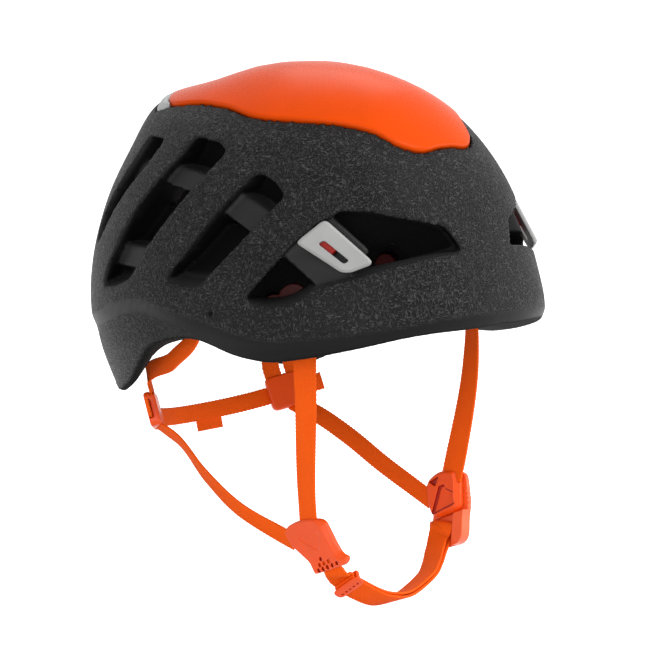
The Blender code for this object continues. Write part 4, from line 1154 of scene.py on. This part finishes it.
core_finish = plain_finish("bead foam core", (0.05, 0.05, 0.052), 0.85, 0.08, 240, 0.0003)
metal = Finish("plated magnet", Metallic=1.0)
metal.set(Base_Color=metal.mix(metal.noise(300, 2), (0.5, 0.5, 0.51), (0.62, 0.62, 0.63)))
metal.set(Roughness=0.24 + metal.noise(900, 2) * 0.12)
for name, finish in (("crown_core", core_finish), ("strap_half_magnet", metal.material),
                     ("chin_half_magnet", metal.material)):
    refinish(frame["nodes"][name], finish)
print("crown cap:", len(cap.data.polygons), "faces; trim:", len(trim.data.polygons), "faces")

# %% [markdown]
# ## Headlamp hooks
# A headlamp's elastic catches behind this pale plate. It is moulded with a bevelled edge and a slot, and its
# foot, coral plastic drawn darker as painted shade, is pressed into the pillar of foam in the long front vent.

# %% Hooks
HOOK_OUTLINE = ((-20.8, 2.7), (-19.5, 4.8), (-7.3, 15.0), (-4.6, 15.2), (20.0, -6.2), (19.6, -8.6), (8.6, -12.9),
                (3.6, -12.9))
HOOK_SLOT = ((-9.2, 2.4), (-6.0, 4.4), (8.0, -6.6), (5.1, -8.6))
HOOK_BACK, HOOK_FRONT = -0.4, 2.4
BEVEL = 1.3
hook_finish = plain_finish("pale hook plastic", (0.31, 0.31, 0.306), 0.42, Specular_IOR_Level=0.3)
coral_finish = fitting_finish("coral plastic", (0.82, 0.074, 0.003), 0.36, 0.3)
# Painted shade: the hook foot is coral plastic drawn darker, for the shade in its slot.
coral_in_shade_finish = fitting_finish("coral plastic in painted shade", (0.36, 0.014, 0.009), 0.45, 0.2)
# Painted shade: the strap anchors are coral plastic drawn nearly black, for the shade inside the shell.
coral_deep_shade_finish = fitting_finish("coral plastic in painted deep shade", (0.04, 0.003, 0.003), 0.5, 0.15)
outline = rounded(HOOK_OUTLINE, 2.2, 4)
hook_layers = ((outline, HOOK_BACK), (outline, HOOK_FRONT - BEVEL), (grown(outline, -BEVEL), HOOK_FRONT))
foot_outline = rounded(FOOT_OUTLINE, 1.2, 3)
for label, place in hooks.items():
    hook = new_piece(f"hook_{label}_plate", stacked(place, *hook_layers), hook_finish)
    combine(hook, [plate(place, rounded(HOOK_SLOT, 1.4, 3), HOOK_BACK - 1, HOOK_FRONT + 1)])
    soften(hook, 0.3, 4, 24000)
    worn(hook, "helmet", "hook_plastic", f"hook_{label}")
    post = plate(place, foot_outline, -FOOT_DEPTH, HOOK_BACK - FIT)
    foot = new_piece(f"hook_foot_{label}_post", post, coral_in_shade_finish)
    soften(foot, 0.4, 2, 9000)
    worn(foot, "helmet", "coral_plastic", f"hook_foot_{label}")
print("hooks on their feet")

# %% [markdown]
# ## Webbing
# The straps are flat woven polyester. One Geometry Nodes tree sweeps a rounded rectangle along any route, gives
# its edges the small scallops of a woven selvedge, and keeps the distance along and across it for the weave.


# %% Geometry Nodes helpers
class Grower:
    """A Geometry Nodes tree with named inputs, written node by node."""

    def __init__(self, name, **inputs):
        self.tree = bpy.data.node_groups.new(name, "GeometryNodeTree")
        self.tree.interface.new_socket("Geometry", in_out="INPUT", socket_type="NodeSocketGeometry")
        for key, kind in inputs.items():
            self.tree.interface.new_socket(key, in_out="INPUT", socket_type=f"NodeSocket{kind}")
        self.tree.interface.new_socket("Geometry", in_out="OUTPUT", socket_type="NodeSocketGeometry")
        self.inputs = self.tree.nodes.new("NodeGroupInput").outputs

    def add(self, kind, settings, links, output=0):
        made = make_node(self.tree, kind, settings)
        for key, value in links.items():
            if isinstance(value, bpy.types.NodeSocket):
                self.tree.links.new(value, made.inputs[key])
            else:
                made.inputs[key].default_value = value
        return made.outputs[output]

    def stored(self, geometry, name, value):
        return self.add("GeometryNodeStoreNamedAttribute", {"data_type": "FLOAT", "domain": "POINT"},
                        {"Geometry": geometry, "Name": name, "Value": value})

    def read(self, name, kind="FLOAT_VECTOR"):
        return self.add("GeometryNodeInputNamedAttribute", {"data_type": kind}, {"Name": name})

    def maths(self, operation, *values):
        return self.add("ShaderNodeMath", {"operation": operation}, dict(enumerate(values)))

    def close(self, geometry):
        made = self.add("GeometryNodeRealizeInstances", {}, {"Geometry": geometry})
        painted = self.add("GeometryNodeSetMaterial", {}, {"Geometry": made, "Material": self.inputs["Finish"]})
        self.tree.links.new(painted, self.tree.nodes.new("NodeGroupOutput").inputs[0])

    def grow(self, obj, **values):
        modifier = obj.modifiers.new(self.tree.name, "NODES")
        modifier.node_group = self.tree
        for item in self.tree.interface.items_tree:
            if item.in_out == "INPUT" and item.name in values:
                modifier[item.identifier] = values[item.name]
        return settle(obj)


def marked_points(name, points, joined, **directions):
    """Points as a mesh, with named directions stored at each, joined in a line or not."""
    mesh = bpy.data.meshes.new(name)
    count = len(points)
    edges = [(i, i + 1) for i in range(count - 1)] if joined else []
    mesh.from_pydata((np.asarray(points) * MM).tolist(), edges, [])
    for key, vectors in directions.items():
        stored = mesh.attributes.new(key, "FLOAT_VECTOR", "POINT")
        stored.data.foreach_set("vector", np.asarray(vectors, float).ravel())
    return show(bpy.data.objects.new(name, mesh))


print("Geometry Nodes helper: Grower")

# %% [markdown]
# The tree resamples the route, turns its normals the way the strap faces and sweeps the section. The last
# step moves the edge points sideways by a sine of the distance along, for the scallops.

# %% Webbing tree
SCALLOP = 0.00016
web = Grower("webbing", Width="Float", Thickness="Float", Edge="Float", Step="Float", Pick="Float", Finish="Material")
line = web.add("GeometryNodeMeshToCurve", {}, {"Mesh": web.inputs["Geometry"]})
line = web.add("GeometryNodeResampleCurve", {"mode": "LENGTH"}, {"Curve": line, "Length": web.inputs["Step"]})
line = web.add("GeometryNodeSetCurveNormal", {"mode": "FREE"}, {"Curve": line, "Normal": web.read("facing")})
line = web.stored(line, "along", web.add("GeometryNodeSplineParameter", {}, {}, "Length"))
section = web.add("GeometryNodeCurvePrimitiveQuadrilateral", {},
                  {"Width": web.inputs["Thickness"], "Height": web.inputs["Width"]})
section = web.add("GeometryNodeFilletCurve", {"mode": "POLY"},
                  {"Curve": section, "Count": 3, "Radius": web.inputs["Edge"], "Limit Radius": True})
spread = web.add("ShaderNodeSeparateXYZ", {}, {"Vector": web.add("GeometryNodeInputPosition", {}, {})}, "Y")
section = web.stored(section, "across", spread)
swept = web.add("GeometryNodeCurveToMesh", {}, {"Curve": line, "Profile Curve": section, "Fill Caps": True})
edge_share = web.maths("DIVIDE", web.read("across", "FLOAT"), web.inputs["Width"])
wave = web.maths("SINE", web.maths("DIVIDE", web.read("along", "FLOAT"), web.inputs["Pick"]))
reach = web.maths("MULTIPLY", web.maths("POWER", web.maths("MULTIPLY", edge_share, 2.0), 9.0), wave)
shift = web.add("ShaderNodeVectorMath", {"operation": "SCALE"},
                {0: web.read("sideways"), "Scale": web.maths("MULTIPLY", reach, SCALLOP)})
web.close(web.add("GeometryNodeSetPosition", {}, {"Geometry": swept, "Offset": shift}))
print("webbing tree:", len(web.tree.nodes), "nodes")

# %% [markdown]
# The weave is a herringbone: ribs run slantwise from the middle to both edges, and a finer thread crosses
# them. A soft noise wears the colour a little.

# %% Webbing finish and straps
weave = Finish("orange webbing", Specular_IOR_Level=0.1)
along_web, across_web = weave.attribute("along"), weave.attribute("across")
rib = (along_web * 4200 + abs(across_web) * 5200).sine() * 0.5 + 0.5
thread = (along_web * 9000 - abs(across_web) * 2600).sine() * 0.5 + 0.5
worn_in = weave.noise(90, 3)
tone = weave.mix(rib * 0.55 + worn_in * 0.35, (0.86, 0.086, 0.003), (0.97, 0.132, 0.006))
weave.set(Base_Color=tone)
weave.set(Roughness=0.62 + worn_in * 0.15)
weave.bump(rib + thread * 0.35, 0.00016)


def strap(name, band, slot_nodes, body=None):
    """Strap piece along a band, with its ends run into their sockets."""
    first, last = band.place(0, -1), band.place(-1)
    points, facings = band.points, band.facing
    if band.ends[0]:
        points = np.concatenate(([first[0] + first[1] * band.ends[0]], points))
        facings = np.concatenate((facings[:1], facings))
    if band.ends[1]:
        points = np.concatenate((points, [last[0] + last[1] * band.ends[1]]))
        facings = np.concatenate((facings, facings[-1:]))
    sideways = unit(np.cross(facings, np.gradient(points, axis=0)))
    obj = marked_points(name, points, True, facing=facings, sideways=sideways)
    web.grow(obj, Width=band.width * MM, Thickness=WEB_THICKNESS * MM, Edge=0.6 * MM, Step=0.55 * MM, Pick=0.36 * MM,
             Finish=weave.material)
    obj.data.shade_smooth()
    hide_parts(*slot_nodes)
    if body:
        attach(obj, body)
    return obj


def between(obj):
    """A strap that crosses a joint: its transform is baked into its points, and it rides on no body."""
    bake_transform(obj)


for (kind, label), band in bands.items():
    node = f"{'rear_chin' if kind == 'rear' else kind}_strap_{label}"
    piece = strap(f"{node}_web", band, [node], "helmet" if kind == "front" else None)
    if kind == "rear":
        between(piece)
    elif kind != "front":
        between(piece)
print("straps down to the fittings")

# %% [markdown]
# The nape strap runs straight through both sliders and round the back of the neck, with a small pull tab under it.

# %% Nape strap
NAPE_TAIL = 9.0
stations = []
for label, side in SIDES.items():
    ahead = SLIDER[0] / 2 + NAPE_TAIL
    run = [(spot(sliders[label], at, 0, SLIDER_LAYER), sliders[label][3]) for at in (ahead, 0, -ahead)]
    stations.append(run[::-side])
behind = (np.array((0.0, 101.0, -73.0)), (0.0, 1.0, -0.1))
nape = Band([*stations[0], behind, *stations[1]], REAR_WEB_WIDTH, (0.0, 0.0))
strap("nape_strap_web", nape, ["nape_strap"], "helmet")
index = int(np.argmin(np.abs(nape.points[:, 0] - 18.0) + (nape.points[:, 1] < 0) * 1000))
centre, along, across, facing = nape.place(index)
down = -across * math.copysign(1.0, across[2])
tab = Band([(centre + down * drop + facing * 1.7, facing) for drop in (2.0, 7.0, 11.0)], 16.0, (0.0, 0.0))
strap("nape_tab_web", tab, ["nape_tab"], "helmet")
print("nape strap", round(float(lengths(nape.points)[-1])), "mm")

# %% [markdown]
# The chin strap leaves the divider, passes under the chin, folds round the ladder bar of the buckle and comes
# back along itself to the keeper.

# %% Chin strap
CHIN_ROUTE = np.array(((-52.2, -64.5, -142.4), (-47.5, -65.2, -145.1), (-39.8, -66.3, -149.5), (-23.0, -67.7, -156.4),
                       (-11.0, -66.5, -157.9), (2.0, -63.2, -158.2), (17.0, -59.3, -155.7), (32.0, -55.5, -151.2)))
TURNED = np.array((-0.70, -0.55, -0.46))
TURN_SHARES = (1, 1, 1, 0.6, 0.2)
LADDER_BAR = (3.6, 2.2)
STRAP_LIFT = LADDER_BAR[1] / 2 + CLEARANCE + WEB_THICKNESS / 2
TAIL_GAP = 2.1
KEEPER_LENGTH = 8.0
LADDER_AT = (-0.6, -18.6)
ladder = (spot(buckle_at, *LADDER_AT, 1.0 + WEB_THICKNESS / 2 + STRAP_LIFT + FIT), *buckle_at[1:])


def chin_band():
    origin, forward, up, outward = ladder
    facings = unit(CHIN_ROUTE - CHIN_MIDDLE)
    for index, share in enumerate(TURN_SHARES):
        facings[index] = unit(TURNED * share + facings[index] * (1 - share))
    route = list(zip(CHIN_ROUTE, facings))
    leaving = (divider_at[3] + facings[1]) / 2
    main = [(spot(divider_at, 10.0, -9.0, -2.7), divider_at[3]), (spot(divider_at, 12.2, -14.0, -4.2), leaving)]
    slanted = origin - up * 4.5 - forward * 1.6
    lead = [(np.array((43.6, -49.2, -147.6)), (0.76, -0.06, -0.62)),
            (np.array((53.2, -43.8, -141.5)), (0.93, 0.04, -0.36)), (slanted - outward * STRAP_LIFT, outward)]
    bar = []
    for turn in np.radians((0, 45, 90, 135, 180)):
        away = up * math.sin(turn) - outward * math.cos(turn)
        bar.append((origin + away * STRAP_LIFT, -away))
    bar.append((slanted + outward * STRAP_LIFT, -outward))
    past = unit(CHIN_ROUTE[0] - CHIN_ROUTE[1]) * (KEEPER_LENGTH / 2 - 1.2)
    tail = lead[1::-1] + route[:0:-1] + [(CHIN_ROUTE[1] + past, facings[1])]
    gaps = [TAIL_GAP + 1.5, TAIL_GAP + 0.5] + [TAIL_GAP] * len(route)
    back = [(point + unit(facing) * gap, -np.asarray(facing)) for (point, facing), gap in zip(tail, gaps)]
    return Band(main + route + lead + bar + back, WEB_WIDTH, (SOCKET, 0.0))


chin = chin_band()
chin_strap = strap("chin_strap_web", chin, ["chin_strap"])
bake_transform(chin_strap)
print("chin strap", round(float(lengths(chin.points)[-1])), "mm")

# %% [markdown]
# ## Moulded fittings
# The fittings are injection moulded. Each starts as a bevelled plate, takes the cuts for its straps, and is
# remade from small voxels, which rounds its edges. Small holes in rows are instances of one drill, and the
# points down in a hole or a recess get a painted shade: they are drawn darker.

# %% Drill rows and painted shade
drill = Grower("drill row", Radius="Float", Depth="Float", Finish="Material")
bit = drill.add("GeometryNodeMeshCylinder", {}, {"Vertices": 20, "Radius": drill.inputs["Radius"],
                                                 "Depth": drill.inputs["Depth"]})
turn = drill.add("FunctionNodeAlignRotationToVector", {"axis": "Z"}, {"Vector": drill.read("axis")})
drill.close(drill.add("GeometryNodeInstanceOnPoints", {},
                      {"Points": drill.inputs["Geometry"], "Instance": bit, "Rotation": turn}))


def drilled(points, axis, radius, depth):
    """Cutters for a row of small holes."""
    obj = marked_points("drills", points, False, axis=[axis] * len(points))
    return drill.grow(obj, Radius=radius * MM, Depth=depth * MM, Finish=coral_finish)


DEEPEST = 4.0


def inside(flat, outline):
    """Which flat points lie inside an outline."""
    found = np.zeros(len(flat), bool)
    for here, there in zip(outline, np.roll(outline, -1, axis=0)):
        spans = (here[1] > flat[:, 1]) != (there[1] > flat[:, 1])
        rise = there[1] - here[1] if there[1] != here[1] else 1e-9
        found ^= spans & (flat[:, 0] < here[0] + (there[0] - here[0]) * (flat[:, 1] - here[1]) / rise)
    return found


def paint_hollow_shade(obj, place, face, outlines, least, floor=None):
    """Paint shade on the points of a piece that lie inside outlines and below its face, but not on a clean floor."""
    points = points_of(obj.data)[0] - place[0]
    flat, depth = points @ np.stack(place[1:3], axis=1), np.abs(face - points @ place[3])
    found = np.any([inside(flat, outline) for outline in outlines], axis=0)
    if floor is not None:
        found &= ~inside(flat, floor)
    paint(obj.data, "painted_shade", found * ramp(depth, least, 0.4) * (depth < DEEPEST))


print("drill tree:", len(drill.tree.nodes), "nodes")

# %% [markdown]
# An anchor is a small plate in the foam that holds the end of a strap. A slider is a flat block that three
# straps end in, and the nape strap runs through it.

# %% Anchors and sliders
for (kind, label), band in anchored.items():
    place = band.place(0, -1)
    deep = ANCHOR_THICKNESS / 2
    shape = plate(place, anchor_outline(band.width), -deep, deep)
    # The anchor is drawn in the painted deep shade of the coral.
    anchor = new_piece(f"{kind}_anchor_{label}_plate", shape, coral_deep_shade_finish)
    combine(anchor, [band.mouth(0, -1)])
    soften(anchor, 0.4, 3, 12000)
    worn(anchor, "helmet", "coral_plastic", f"{kind}_anchor_{label}")

for label, place in sliders.items():
    half, top, deep = (size / 2 for size in SLIDER)
    outline = rounded(((half, top), (-half, top), (-half, -top), (half, -top)), 4.0, 5)
    drawn_in = grown(outline, -SLIDER_EDGE)
    body = stacked(place, (drawn_in, -deep), (outline, SLIDER_EDGE - deep), (outline, deep - SLIDER_EDGE),
                   (drawn_in, deep))
    slider = new_piece(f"nape_slider_{label}_body", body, coral_finish)
    riser, stay, rear = (bands[kind, label] for kind in ("riser", "stay", "rear"))
    wide, thin = REAR_WEB_WIDTH / 2 + CLEARANCE, WEB_THICKNESS / 2 + CLEARANCE
    slot = block(place, ((-SLIDER[0], SLIDER[0]), (-wide, wide), (SLIDER_LAYER - thin, SLIDER_LAYER + thin)))
    combine(slider, [riser.mouth(), stay.mouth(), rear.mouth(0, -1), slot])
    soften(slider, 0.3, 3, 30000)
    worn(slider, f"slider_{label}", "coral_plastic", f"nape_slider_{label}")
print("six anchors and two sliders")

# %% [markdown]
# The divider joins the front, rear and chin straps at the right jaw. Its forward edge has a broad bevel, its
# face a shallow rounded triangle, and nine small holes run along its lower edge.

# %% Strap divider
DIVIDER_OUTLINE = ((-23.4, 5.0), (-22.3, 7.8), (-19.5, 10.2), (-12.9, 13.4), (-5.0, 15.6), (4.5, 16.6), (8.0, 15.6),
                   (15.6, 4.0), (19.6, -0.9), (25.4, -2.1), (22.8, -6.6), (0.2, -14.9), (-1.4, -15.0), (-4.7, -9.2),
                   (-18.4, -1.6))
DIVIDER_HOLES = ((5.1, -5.5), (11.4, -5.8), (17.9, -6.0), (7.7, -7.5), (14.1, -7.7), (4.0, -9.0), (10.1, -9.4),
                 (6.4, -10.9), (2.8, -12.3))
DIVIDER_RECESS = ((-13.5, 4.0), (5.5, 10.8), (5.4, -2.0))
outline = rounded(DIVIDER_OUTLINE, 2.2, 4)
broad = ramp(outline[:, 0], 2.0, 5.0) * ramp(outline[:, 1], -4.0, 3.0)
divider = new_piece("strap_divider_body", stacked(
    divider_at, (grown(outline, -0.8), -DIVIDER_THICKNESS), (outline, 0.9 - DIVIDER_THICKNESS),
    (outline, -1.0 - 1.2 * broad), (grown(outline, -1.1 - 1.7 * broad), 0.0)), coral_finish)
mouths = [bands["front", "right"].mouth(), bands["rear", "right"].mouth(), chin.mouth(0, -1)]
holes = drilled([spot(divider_at, *at) for at in DIVIDER_HOLES], divider_at[3], 1.2, 3.6)
combine(divider, [*mouths, plate(divider_at, rounded(DIVIDER_RECESS, 5.0, 6), -0.45, 2.0), holes])
soften(divider, 0.28, 3, 60000)
# Painted shade down in the nine holes.
paint_hollow_shade(divider, divider_at, 0.0, [circle(20, 1.35) + at for at in DIVIDER_HOLES], 0.25)
worn(divider, "helmet", "coral_plastic", "strap_divider")
print("divider:", len(divider.data.polygons), "faces")

# %% [markdown]
# The keeper is a small loop that holds the strap's free tail. It slides along the chin strap, and five dimples
# give the finger a grip.

# %% Keeper
KEEPER_WALL = 1.3
KEEPER_LOOP = 3.0
point, along, across, facing = chin.place(3 * WEB_STEPS)
outward = facing * math.copysign(1.0, facing @ (point - CHIN_MIDDLE))
keeper_at = (point + outward * TAIL_GAP / 2, along, across, outward)
wide, thin = WEB_WIDTH / 2 + 0.6, (TAIL_GAP + WEB_THICKNESS) / 2 + 0.7


def oblong(length, breadth, radius):
    return rounded([(a * length / 2, b * breadth) for a, b in ((1, 1), (-1, 1), (-1, -1), (1, -1))], radius, 6)


grip, loop = oblong(KEEPER_LENGTH, wide + KEEPER_WALL + 0.5, 4.0), oblong(KEEPER_LOOP, wide + 0.9, 1.0)
keeper = new_piece("strap_keeper_loop", stacked(
    keeper_at, (grown(grip, -0.5), thin), (grip, thin + 0.5), (grown(grip, -0.3), thin + KEEPER_WALL - 0.3),
    (grown(grip, -1.2), thin + KEEPER_WALL)), coral_finish)
combine(keeper, [plate(keeper_at, loop, -thin - 0.9, thin + 0.6)], "UNION")
dots = [(1.2, at) for at in np.linspace(-5.6, 5.6, 5)]
holes = drilled([spot(keeper_at, *at, thin + KEEPER_WALL) for at in dots], outward, 0.7, 1.8)
combine(keeper, [block(keeper_at, ((-9, 9), (-wide, wide), (-thin, thin))), holes])
soften(keeper, 0.22, 3, 40000)
# Painted shade in the five dimples.
paint_hollow_shade(keeper, keeper_at, thin + KEEPER_WALL, [circle(20, 0.8) + at for at in dots], 0.15)
worn(keeper, "keeper", "coral_plastic", "strap_keeper")
print("keeper:", len(keeper.data.polygons), "faces")

# %% [markdown]
# ## Buckle
# Two halves meet face to face and hold by a magnet in each. The strap half, seen from inside the helmet, has a
# three-cornered and a five-cornered recess.

# %% Strap half
STRAP_HALF_OUTLINE = ((-13.5, 5.3), (-5.5, 12.3), (3.6, 13.7), (7.8, 12.0), (10.4, -8.2), (-6.2, -15.0),
                      (-11.0, -8.0))
TRIANGLE = ((-11.0, 5.4), (-4.4, 9.5), (-6.4, 3.6))
PENTAGON = ((-4.1, 3.8), (-0.5, 5.5), (0.7, 3.5), (5.9, 2.0), (5.2, -0.6), (7.6, -4.9), (-7.6, -13.3))
RECESS_DEPTH = 2.0
MAGNET = ((-0.5, 1.0), 4.5, 2.5)


def disc(low, high, extra):
    return plate(buckle_at, circle(40, MAGNET[1] + extra) + MAGNET[0], low, high)


outline = rounded(STRAP_HALF_OUTLINE, 4.5, 6)
bold = ramp(outline[:, 0], 4.0, 3.0)
strap_half = new_piece("buckle_strap_half_body", stacked(
    buckle_at, (grown(outline, -1.4 - 1.2 * bold), 0.0), (outline, 1.6 + 1.4 * bold), (outline, STRAP_HALF)),
    coral_finish)
mouths = [bands[kind, "left"].mouth() for kind in ("front", "rear")]
recesses = [rounded(shape, 0.5, 3) for shape in (TRIANGLE, PENTAGON)]
combine(strap_half, [*mouths, disc(STRAP_HALF - MAGNET[2] - FIT, STRAP_HALF + 1, FIT),
                     *(plate(buckle_at, shape, -RECESS_DEPTH, RECESS_DEPTH) for shape in recesses)])
soften(strap_half, 0.26, 2, 50000)
# Painted shade in the three-cornered recess and round the edge of the five-cornered one.
paint_hollow_shade(strap_half, buckle_at, 0.0, [grown(shape, 0.2) for shape in recesses], 0.2, grown(PENTAGON, -1.2))
worn(strap_half, "helmet", "coral_plastic", "buckle_strap_half")
print("strap half:", len(strap_half.data.polygons), "faces")

# %% [markdown]
# The chin half steps forward below the strap half's slanted edge. Its bay holds the ladder bar that the strap
# folds round, and its front wall is ribbed for the finger.

# %% Chin half
CHIN_HALF_OUTLINE = ((-12.5, 5.0), (-5.0, 12.0), (5.3, 13.4), (9.6, 12.0), (11.8, 3.1), (13.4, -4.1), (12.8, -11.4),
                     (13.6, -22.6), (10.8, -27.5), (-2.0, -31.5), (-8.4, -30.4), (-10.2, -22.0), (-10.2, -8.0))
SEAM = 0.4
SLANT_ROOM = 0.9
LEAN_LEVEL = 3.3
CHIN_HALF = 4.6
CHIN_STEP = 1.0
CHIN_EDGE = 1.6
# Painted highlight: the chin half is the coral plastic drawn a little lighter all over, for the strong light on its
# forward walls.
coral_painted_highlight_finish = fitting_finish("coral plastic with painted highlight", (0.84, 0.10, 0.014), 0.36, 0.4)
face = STRAP_HALF + SEAM
back = face + CHIN_HALF
outline = rounded(CHIN_HALF_OUTLINE, 3.5, 6)
chin_half = new_piece("buckle_chin_half_body", stacked(
    buckle_at, (outline, face), (outline, back - CHIN_EDGE), (grown(outline, -CHIN_EDGE), back)), coral_painted_highlight_finish)
near, far = np.array(STRAP_HALF_OUTLINE[4]), np.array(STRAP_HALF_OUTLINE[5])
slant = unit(far - near)
down = np.array((-slant[1], slant[0]))
lower = clipped(outline, near + down * SEAM, down)
combine(chin_half, [plate(buckle_at, lower, CHIN_STEP, back - CHIN_HALF / 2)], "UNION")
wide = WEB_WIDTH / 2 + CLEARANCE
room = STRAP_LIFT + WEB_THICKNESS / 2 + 2 * CLEARANCE
left, right = LADDER_AT[0] - wide - SLANT_ROOM, LADDER_AT[0] + wide
left_top, right_top = (near[1] + (far[1] - near[1]) * (at - near[0]) / (far[0] - near[0]) for at in (left, right))
bay = plate(buckle_at, ((left, -50.0), (right, -50.0), (right, right_top), (left, left_top)), -2 * face,
            float((ladder[0] - buckle_at[0]) @ buckle_at[3]) + room)
lean = block(buckle_at, ((-20.0, -7.0), (-40.0, -11.0), (-2.0, LEAN_LEVEL)))
ribs = [spot(buckle_at, *at, face + 2.0) for at in ((12.0, 2.8), (12.7, 0.2), (13.2, -2.4), (13.4, -5.0))]
combine(chin_half, [bay, lean, disc(face - 1, face + MAGNET[2] + FIT, FIT), drilled(ribs, buckle_at[3], 0.9, 9.0)])
thin = LADDER_BAR[1] / 2
ladder_bar = block(ladder, ((-wide - SLANT_ROOM - 1, wide + 1), (-LADDER_BAR[0], 0.0), (-thin, thin)))
combine(chin_half, [ladder_bar], "UNION")
soften(chin_half, 0.26, 3, 60000)
worn(chin_half, "buckle_chin", "peach_plastic", "buckle_chin_half")
print("chin half:", len(chin_half.data.polygons), "faces")

# %% [markdown]
# ## Comfort pads
# Each pad is soft foam in a brushed fabric cover, welded round its edge and stuck to the cavity wall. Its back
# follows the wall, and its face stands off it by a thickness that runs out to the edge.

# %% Pad shapes
CROWN_SHARES = (0.12, 0.24, 0.36, 0.48, 0.6, 0.72, 0.82, 0.9, 0.96, 1.0)
CROWN_POINTS = 64
PAD_SIZES = dict(thickness=5.6, clearance=1.0, edge=0.35, swell_limit=1.2, pressure=4.0, frames=20)


def swell_at(*shares):
    """Share of a pad's thickness at shares of the way to its edges."""
    return PAD_SIZES["edge"] + (1 - PAD_SIZES["edge"]) * math.prod(1 - share ** 4 for share in shares) ** 0.5


def wall_pad(middle, span, low, high, columns, rows):
    """Closed pad on the cavity wall: its back points first, then its face."""
    back, front = [], []
    for across in np.linspace(-1, 1, columns + 1):
        for upward in np.linspace(-1, 1, rows + 1):
            angle, height = middle + span * across, (low + high) / 2 + (high - low) / 2 * upward
            inward = cavity_normal(angle, height)
            wall = cavity_point(angle, height) + inward * PAD_SIZES["clearance"]
            back.append(wall)
            front.append(wall + inward * PAD_SIZES["thickness"] * swell_at(across, upward))
    stride, size = rows + 1, len(back)
    faces = []
    for i in (column * stride + row for column in range(columns) for row in range(rows)):
        quad = (i, i + 1, i + stride + 1, i + stride)
        faces += [quad, tuple(size + k for k in reversed(quad))]
    border = list(range(rows)) + [column * stride + rows for column in range(columns)]
    border += [columns * stride + row for row in range(rows, 0, -1)] + [c * stride for c in range(columns, 0, -1)]
    faces += [(here, there, size + there, size + here) for here, there in zip(border, border[1:] + border[:1])]
    return back + front, faces


def crown_pad():
    outline = circle(CROWN_POINTS) * (30.0, 46.0)
    top = [np.array([(x, y, cavity_crown(x, y) - PAD_SIZES["clearance"]) for x, y in outline * share])
           for share in CROWN_SHARES]
    bottom = [ring - (0, 0, PAD_SIZES["thickness"] * swell_at(share)) for ring, share in zip(top, CROWN_SHARES)]
    peak = CAVITY_TOP - PAD_SIZES["clearance"]
    return domed([*top, *bottom[::-1]], (0, 0, peak), (0, 0, peak - PAD_SIZES["thickness"]))


print("pads", PAD_SIZES["thickness"], "mm thick in the middle")

# %% [markdown]
# The cover is blown up as cloth: its back is held, a small pressure swells the face, and no point may move far.

# %% Pads
fabric = Finish("brushed pad fabric", Sheen_Weight=0.4, Sheen_Roughness=0.5)
nap = fabric.noise(1500, 2)
fabric.set(Base_Color=fabric.mix(nap, (0.030, 0.030, 0.032), (0.06, 0.06, 0.064)))
fabric.set(Roughness=0.85 + nap * 0.1)
fabric.bump(nap + fabric.noise(250, 1) * 0.6, 0.00015)


def puffed(obj, held):
    """Swell a pad's cover by cloth pressure, with its held points pinned."""
    rest, _ = points_of(obj.data)
    obj.vertex_groups.new(name="held").add(held, 1.0, "REPLACE")
    cloth = obj.modifiers.new("cover", "CLOTH")
    cloth.settings.vertex_group_mass = "held"
    cloth.settings.use_pressure = True
    cloth.settings.uniform_pressure_force = PAD_SIZES["pressure"]
    cloth.settings.effector_weights.gravity = 0.0
    for step in range(1, PAD_SIZES["frames"] + 1):
        bpy.context.scene.frame_set(step)
    settle(obj)
    bpy.context.scene.frame_set(1)
    moved = points_of(obj.data)[0] - rest
    far = np.linalg.norm(moved, axis=1, keepdims=True)
    rest = rest + moved * np.minimum(1.0, PAD_SIZES["swell_limit"] / np.maximum(far, 1e-9))
    obj.data.vertices.foreach_set("co", (rest * MM).ravel())
    obj.vertex_groups.clear()
    print(obj.name, "swelled by up to", round(float(far.max()), 2), "mm before the limit")
    finer = obj.modifiers.new("finer", "SUBSURF")
    finer.levels = finer.render_levels = 1
    settle(obj).data.shade_smooth()


wall_pads = {"pad_front": (0.0, 48.0, 4.0, 28.0, 44, 10), "pad_rear": (180.0, 26.0, -16.0, 14.0, 26, 12)}
crown_back = CROWN_POINTS * len(CROWN_SHARES)
for name in ("pad_front", "pad_rear", "pad_crown"):
    shape = wall_pad(*wall_pads[name]) if name in wall_pads else crown_pad()
    pad = new_piece(f"{name}_cover", shape, fabric.material)
    held = list(range(len(pad.data.vertices) // 2))
    if name == "pad_crown":
        held = list(range(crown_back)) + [2 * crown_back]
    puffed(pad, held)
    worn(pad, "helmet", "pad", name)
    print(name, "cover:", len(pad.data.polygons), "faces")

# %% [markdown]
# ## Sizes
# The points of the drawn pieces are gathered for their box; the imported solids' box was kept at the start.

# %% Sizes and finish
corners = np.concatenate([points_of(obj.data)[0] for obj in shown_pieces()]) * MM
